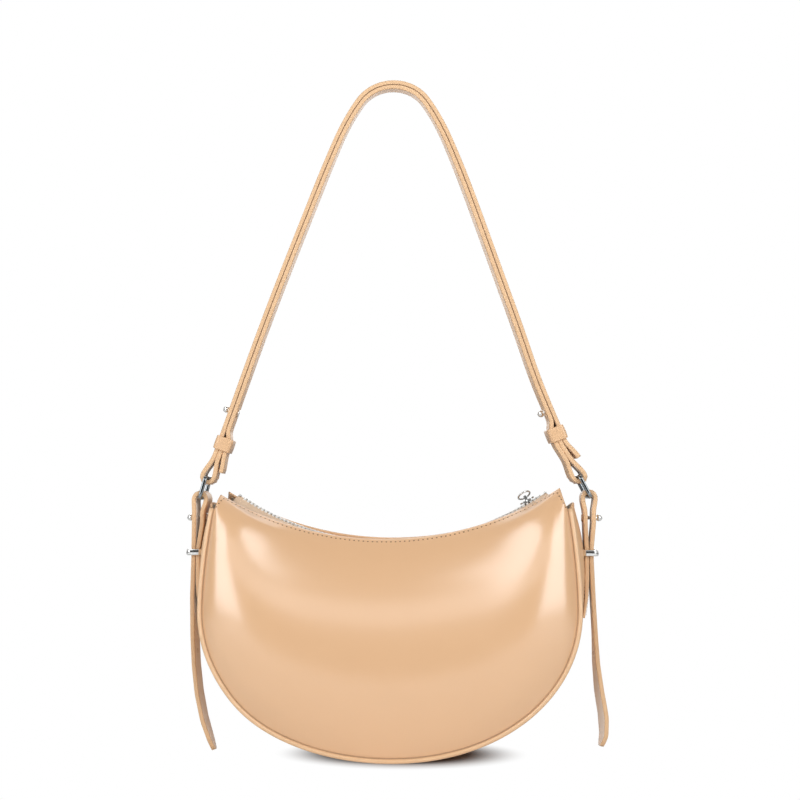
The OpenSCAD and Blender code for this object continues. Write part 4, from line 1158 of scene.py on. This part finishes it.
def panelStitchRow(grid, side):
    # a row along the mouth edge that turns down along the two short side edges
    depth = rowsAt["mouthIn"]
    normals = [[n * -side for n in line] for line in gridNormals(grid)]
    rows, cols = len(grid), len(grid[0])
    pts, ups = [], []
    for c in range(cols):
        p = grid[rows - 1][c]
        k = rows - 1
        while k > 0 and (p - grid[k][c]).length < depth:
            k -= 1
        a, b = grid[k + 1][c], grid[k][c]
        da, db = (p - a).length, (p - b).length
        pts.append(a.lerp(b, (depth - da) / max(db - da, 1e-6)))
        ups.append(normals[k][c])

    def clearOf(edge, step):
        # the first place from this end that stands clear of the side edge
        i = edge
        while min((pts[i] - line[edge]).length for line in grid) < depth:
            i += step
        return i

    def down(way, first):
        out, outUps = [], []
        for line, nl in zip(grid[::-1], normals[::-1]):
            line, nl, run = line[::way], nl[::way], 0
            for k in range(cols - 1):
                seg = (line[k + 1] - line[k]).length
                if run + seg >= depth:
                    q = line[k].lerp(line[k + 1], (depth - run) / seg)
                    if (q - first).length > rowsAt["turnGap"] and bag["seamTopZ"] + rowsAt["endRoom"] < q.z < first.z:
                        out.append(q)
                        outUps.append(nl[k])
                    break
                run += seg
        return out, outUps

    a, b = clearOf(0, 1), clearOf(cols - 1, -1)
    (leftPts, leftUps), (rightPts, rightUps) = down(1, pts[a]), down(-1, pts[b])
    ups = leftUps[::-1] + ups[a:b + 1] + rightUps
    return [p + n * rowsAt["mouthLift"] for p, n in zip(leftPts[::-1] + pts[a:b + 1] + rightPts, ups)], ups


def strapStitchRows(line, ends, faces=(1, -1), inset=rowsAt["strapIn"], widthAt=None, twistAt=None, place=None):
    rows = []
    last = len(line) - 1
    for face in faces:
        for y in (-1, 1):
            pts, ups = [], []
            for i in range(int(ends[0] * last), int(ends[1] * last) + 1):
                w = strap["w"] / 2 * (widthAt(i / last) if widthAt else 1) - inset
                if w < rowsAt["least"]:
                    continue
                mid, out, across = lineFrame(line, i, twistAt)
                p = mid + across * y * w + out * face * (strap["t"] / 2 - rowsAt["sunk"])
                pts.append(place(p) if place else p)
                ups.append(out * face)
            rows.append((pts, ups))
    return rows


for name, grid, side in (("front", frontGrid, -1), ("back", backGrid, 1)):
    dress(stitchRows("mouth_stitches_" + name, [panelStitchRow(grid, side)]), "bag", "hide")
for name, line in (("outer", outerLine), ("inner", innerLine)):
    rows = strapStitchRows(line, (0.005, 0.995), place=strapPlace)
    dress(stitchRows(name + "_strap_stitches", rows), "shoulder_strap", "strap")
for side in (left, right):
    name = sideName[side]
    faces = (1, -1) if side == left else (-1, 1)
    rows = strapStitchRows(sideLines[side], (0.02, 0.98), faces)
    dress(stitchRows("side_strap_stitches_" + name, rows, sideStitch, paleStitchTree), "side_loops", "strap",
          bend=sideStrap["bend"])
    rows = strapStitchRows(tailLines[side], (0.04, 0.97), faces, rowsAt["tailIn"], tailWidth, tailTurn(side))
    dress(stitchRows("tail_stitches_" + name, rows, sideStitch, paleStitchTree), name + "_tail", "strap",
          bend=tail["bend"])
print("stitches ready")


# adjusting holes of the tails

hole = {"z": 72, "r": 1.4, "rim": 0.08, "depth": 0.3}
for side in (left, right):
    name = sideName[side]
    line = tailLines[side]
    i = min(range(1, len(line) - 1), key=lambda k: abs(line[k].y - hole["z"]))
    mid, out, across = lineFrame(line, i, tailTurn(side))
    r, rim, depth = hole["r"], hole["rim"], hole["depth"]
    # each hole is a shallow dish coloured as painted shade of its inside
    profile = [(-depth, 0), (-depth, r), (0, r + rim), (rim, r), (-rim, r * 0.8), (-rim, 0)]
    discs = [turnedPiece("tail_hole_" + name + str(k), profile, mid + out * k * strap["t"] / 2, out * k, holeAndGapShade, 20)
             for k in (-1, 1)]
    dress(outward(joined("tail_hole_" + name, discs)), name + "_tail", "strap")
print("holes ready")


# teeth, end stops, slider and puller of the zip

pitchTurn = math.degrees(zipper["pitch"] / zipper["chainR"])
chainTurn = math.degrees(math.asin(zipper["halfW"] / zipper["chainR"]))
count = int(chainTurn / pitchTurn) - 1
for name, side, shift in (("front", -1, 0.25), ("back", 1, 0.75)):
    turns = [(k + shift) * pitchTurn for k in range(-count, count)]
    pts = [chainPlace(a, side * zipper["toothMidY"]) for a in turns]
    ups = [Vector((-math.sin(math.radians(a)), 0, math.cos(math.radians(a)))) for a in turns]
    piece = madeReal(pathObject("teethPath", pts, ups), toothTree, "zip_teeth_metal_" + name, tooth)
    dress(piece, "bag", "zip_metal", "zip_teeth_" + name)
print("teeth ready")

# a crimped bar across both tapes at each end
l, r, edge = zipper["stopL"], zipper["stopR"], zipper["stopRound"]
profile = [(-l, 0), (-l, r - edge), (edge - l, r), (l - edge, r), (l, r - edge), (l, 0)]
bars = [turnedPiece("zip_end_bar", profile, chainPlace(sign * (chainTurn - zipper["stopIn"]), 0, zipper["stopLift"]),
                    forth, zipNickel, 20) for sign in sideSign]
dress(outward(joined("zip_end_bars", bars)), "bag", "zip_metal", "zip_end_stops")

for node in ("zip_slider", "zip_puller"):
    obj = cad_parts[node]
    for slot in obj.material_slots:
        slot.material = zipNickel
    if not obj.material_slots:
        obj.data.materials.append(zipNickel)


# studio

# the shadow entries place an ellipse of painted shadow on the floor round the bag, and give its dark brown tint
studio = {"shadowSize": (0.092, 0.06), "shadowAt": 0.007, "shadowEdge": (0.5, 1), "paintedShadowTint": (0.24, 0.19, 0.16),
          "floorTint": (0.9, 0.9, 0.9), "ambient": 0.12, "roomFront": 0.1, "roomFrom": -0.35, "roomTo": 0.3}
coolTint = (0.93, 0.97, 1)
lamps = {
    "leftBox": {"place": (-0.84, -1.05, 0.72), "aimZ": 0.12, "size": (0.7, 1.3), "power": 11.6, "tint": coolTint},
    "rightBox": {"place": (0.78, -1.05, 0.72), "aimZ": 0.12, "size": (0.7, 1.3), "power": 11.6, "tint": coolTint},
    "topBox": {"place": (0, 0.6, 1.5), "aimZ": 0.1, "size": (1.4, 0.8), "power": 3, "tint": (1, 1, 1)},
    "frontFill": {"place": (0, -1.4, 0.95), "aimZ": 0.1, "size": (1.6, 0.4), "power": 2.6, "tint": (1, 1, 1)},
    "rearBox": {"place": (0.2, 1.5, 0.7), "aimZ": 0.1, "size": (1.8, 0.9), "power": 4.5, "tint": (1, 1, 1)},
}
view = {"aim": (0.0061, 0, 0.2543), "turn": 3.4, "rise": -3.8, "distance": 1, "lens": 18 / 0.292}
white = (1, 1, 1, 1)


def floorMaterial():
    # to the camera the floor is white outside an ellipse round the bag, and inside it a dark brown painted shadow lies
    # over the real shadow from the lamps
    mat, tree, shader = newMaterial("paleFloor")
    mat.cycles.emission_sampling = "NONE"  # it is white to the camera only, so it lights nothing
    seen = nodeOf(tree, "ShaderNodeLightPath").outputs["Is Camera Ray"]
    setInputs(tree, shader, {"Base Color": mixedColour(tree, seen, studio["floorTint"], studio["paintedShadowTint"]),
                             "Roughness": 0.9, "Specular IOR Level": 0})
    coords = nodeOf(tree, "ShaderNodeTexCoord")
    centred = nodeOf(tree, "ShaderNodeVectorMath", {
        0: coords.outputs["Object"], 1: (studio["shadowAt"], 0, 0)}, operation="SUBTRACT")
    scaled = nodeOf(tree, "ShaderNodeVectorMath", {
        0: centred.outputs["Vector"], 1: (*studio["shadowSize"], 1)}, operation="DIVIDE")
    length = nodeOf(tree, "ShaderNodeVectorMath", {0: scaled.outputs["Vector"]}, operation="LENGTH")
    far = nodeOf(tree, "ShaderNodeMapRange", {
        "Value": length.outputs["Value"], "From Min": studio["shadowEdge"][0], "From Max": studio["shadowEdge"][1]},
        interpolation_type="SMOOTHSTEP")
    clear = nodeOf(tree, "ShaderNodeMath", {0: far.outputs["Result"], 1: seen}, operation="MULTIPLY")
    paper = nodeOf(tree, "ShaderNodeEmission", {"Color": white})
    both = nodeOf(tree, "ShaderNodeMixShader", {0: clear.outputs[0], 1: shader.outputs[0], 2: paper.outputs[0]})
    setInputs(tree, tree.nodes["Material Output"], {"Surface": both.outputs[0]})
    return mat


floorMesh = bpy.data.meshes.new("floor")
floorMesh.from_pydata([(-4, -3, 0), (4, -3, 0), (4, 5, 0), (-4, 5, 0)], [], [(0, 1, 2, 3)])
floorMesh.materials.append(floorMaterial())
floor = bpy.data.objects.new("floor", floorMesh)
bpy.context.scene.collection.objects.link(floor)

world = bpy.data.worlds.new("studio")
bpy.context.scene.world = world
world.use_nodes = True
tree = world.node_tree
shade = tree.nodes["Background"]
setInputs(tree, shade, {"Color": white, "Strength": studio["ambient"]})
plain = nodeOf(tree, "ShaderNodeBackground", {"Color": white})
coords = nodeOf(tree, "ShaderNodeTexCoord")
split = nodeOf(tree, "ShaderNodeSeparateXYZ", {0: coords.outputs["Generated"]})
level = nodeOf(tree, "ShaderNodeMapRange", {
    "Value": split.outputs["Y"], "From Min": studio["roomFrom"], "From Max": studio["roomTo"],
    "To Min": studio["roomFront"], "To Max": 1}, interpolation_type="SMOOTHSTEP")
room = nodeOf(tree, "ShaderNodeBackground", {"Strength": level.outputs["Result"]})  # white behind, dark in front
path = nodeOf(tree, "ShaderNodeLightPath").outputs
sharp = nodeOf(tree, "ShaderNodeMixShader", {0: path["Is Glossy Ray"], 1: shade.outputs[0], 2: room.outputs[0]})
both = nodeOf(tree, "ShaderNodeMixShader", {0: path["Is Camera Ray"], 1: sharp.outputs[0], 2: plain.outputs[0]})
setInputs(tree, tree.nodes["World Output"], {"Surface": both.outputs[0]})

for name, lamp in lamps.items():
    light = bpy.data.lights.new(name, "AREA")
    light.shape = "RECTANGLE"
    light.size, light.size_y = lamp["size"]
    light.energy = lamp["power"]
    light.color = lamp["tint"]
    box = bpy.data.objects.new(name, light)
    box.location = lamp["place"]
    box.rotation_euler = (Vector((0, 0, lamp["aimZ"])) - Vector(lamp["place"])).to_track_quat("-Z", "Y").to_euler()
    bpy.context.scene.collection.objects.link(box)

camera = bpy.data.cameras.new("camera")
camera.sensor_width = 36
camera.lens = view["lens"]
camera.clip_start = 0.05
cam = bpy.data.objects.new("camera", camera)
turn, rise = math.radians(view["turn"]), math.radians(view["rise"])
back = Vector((math.sin(turn) * math.cos(rise), -math.cos(turn) * math.cos(rise), math.sin(rise)))
cam.location = Vector(view["aim"]) + back * view["distance"]
cam.rotation_euler = (-back).to_track_quat("-Z", "Y").to_euler()
bpy.context.scene.collection.objects.link(cam)
bpy.context.scene.camera = cam
bpy.context.scene.view_settings.view_transform = "Standard"
print("studio ready")
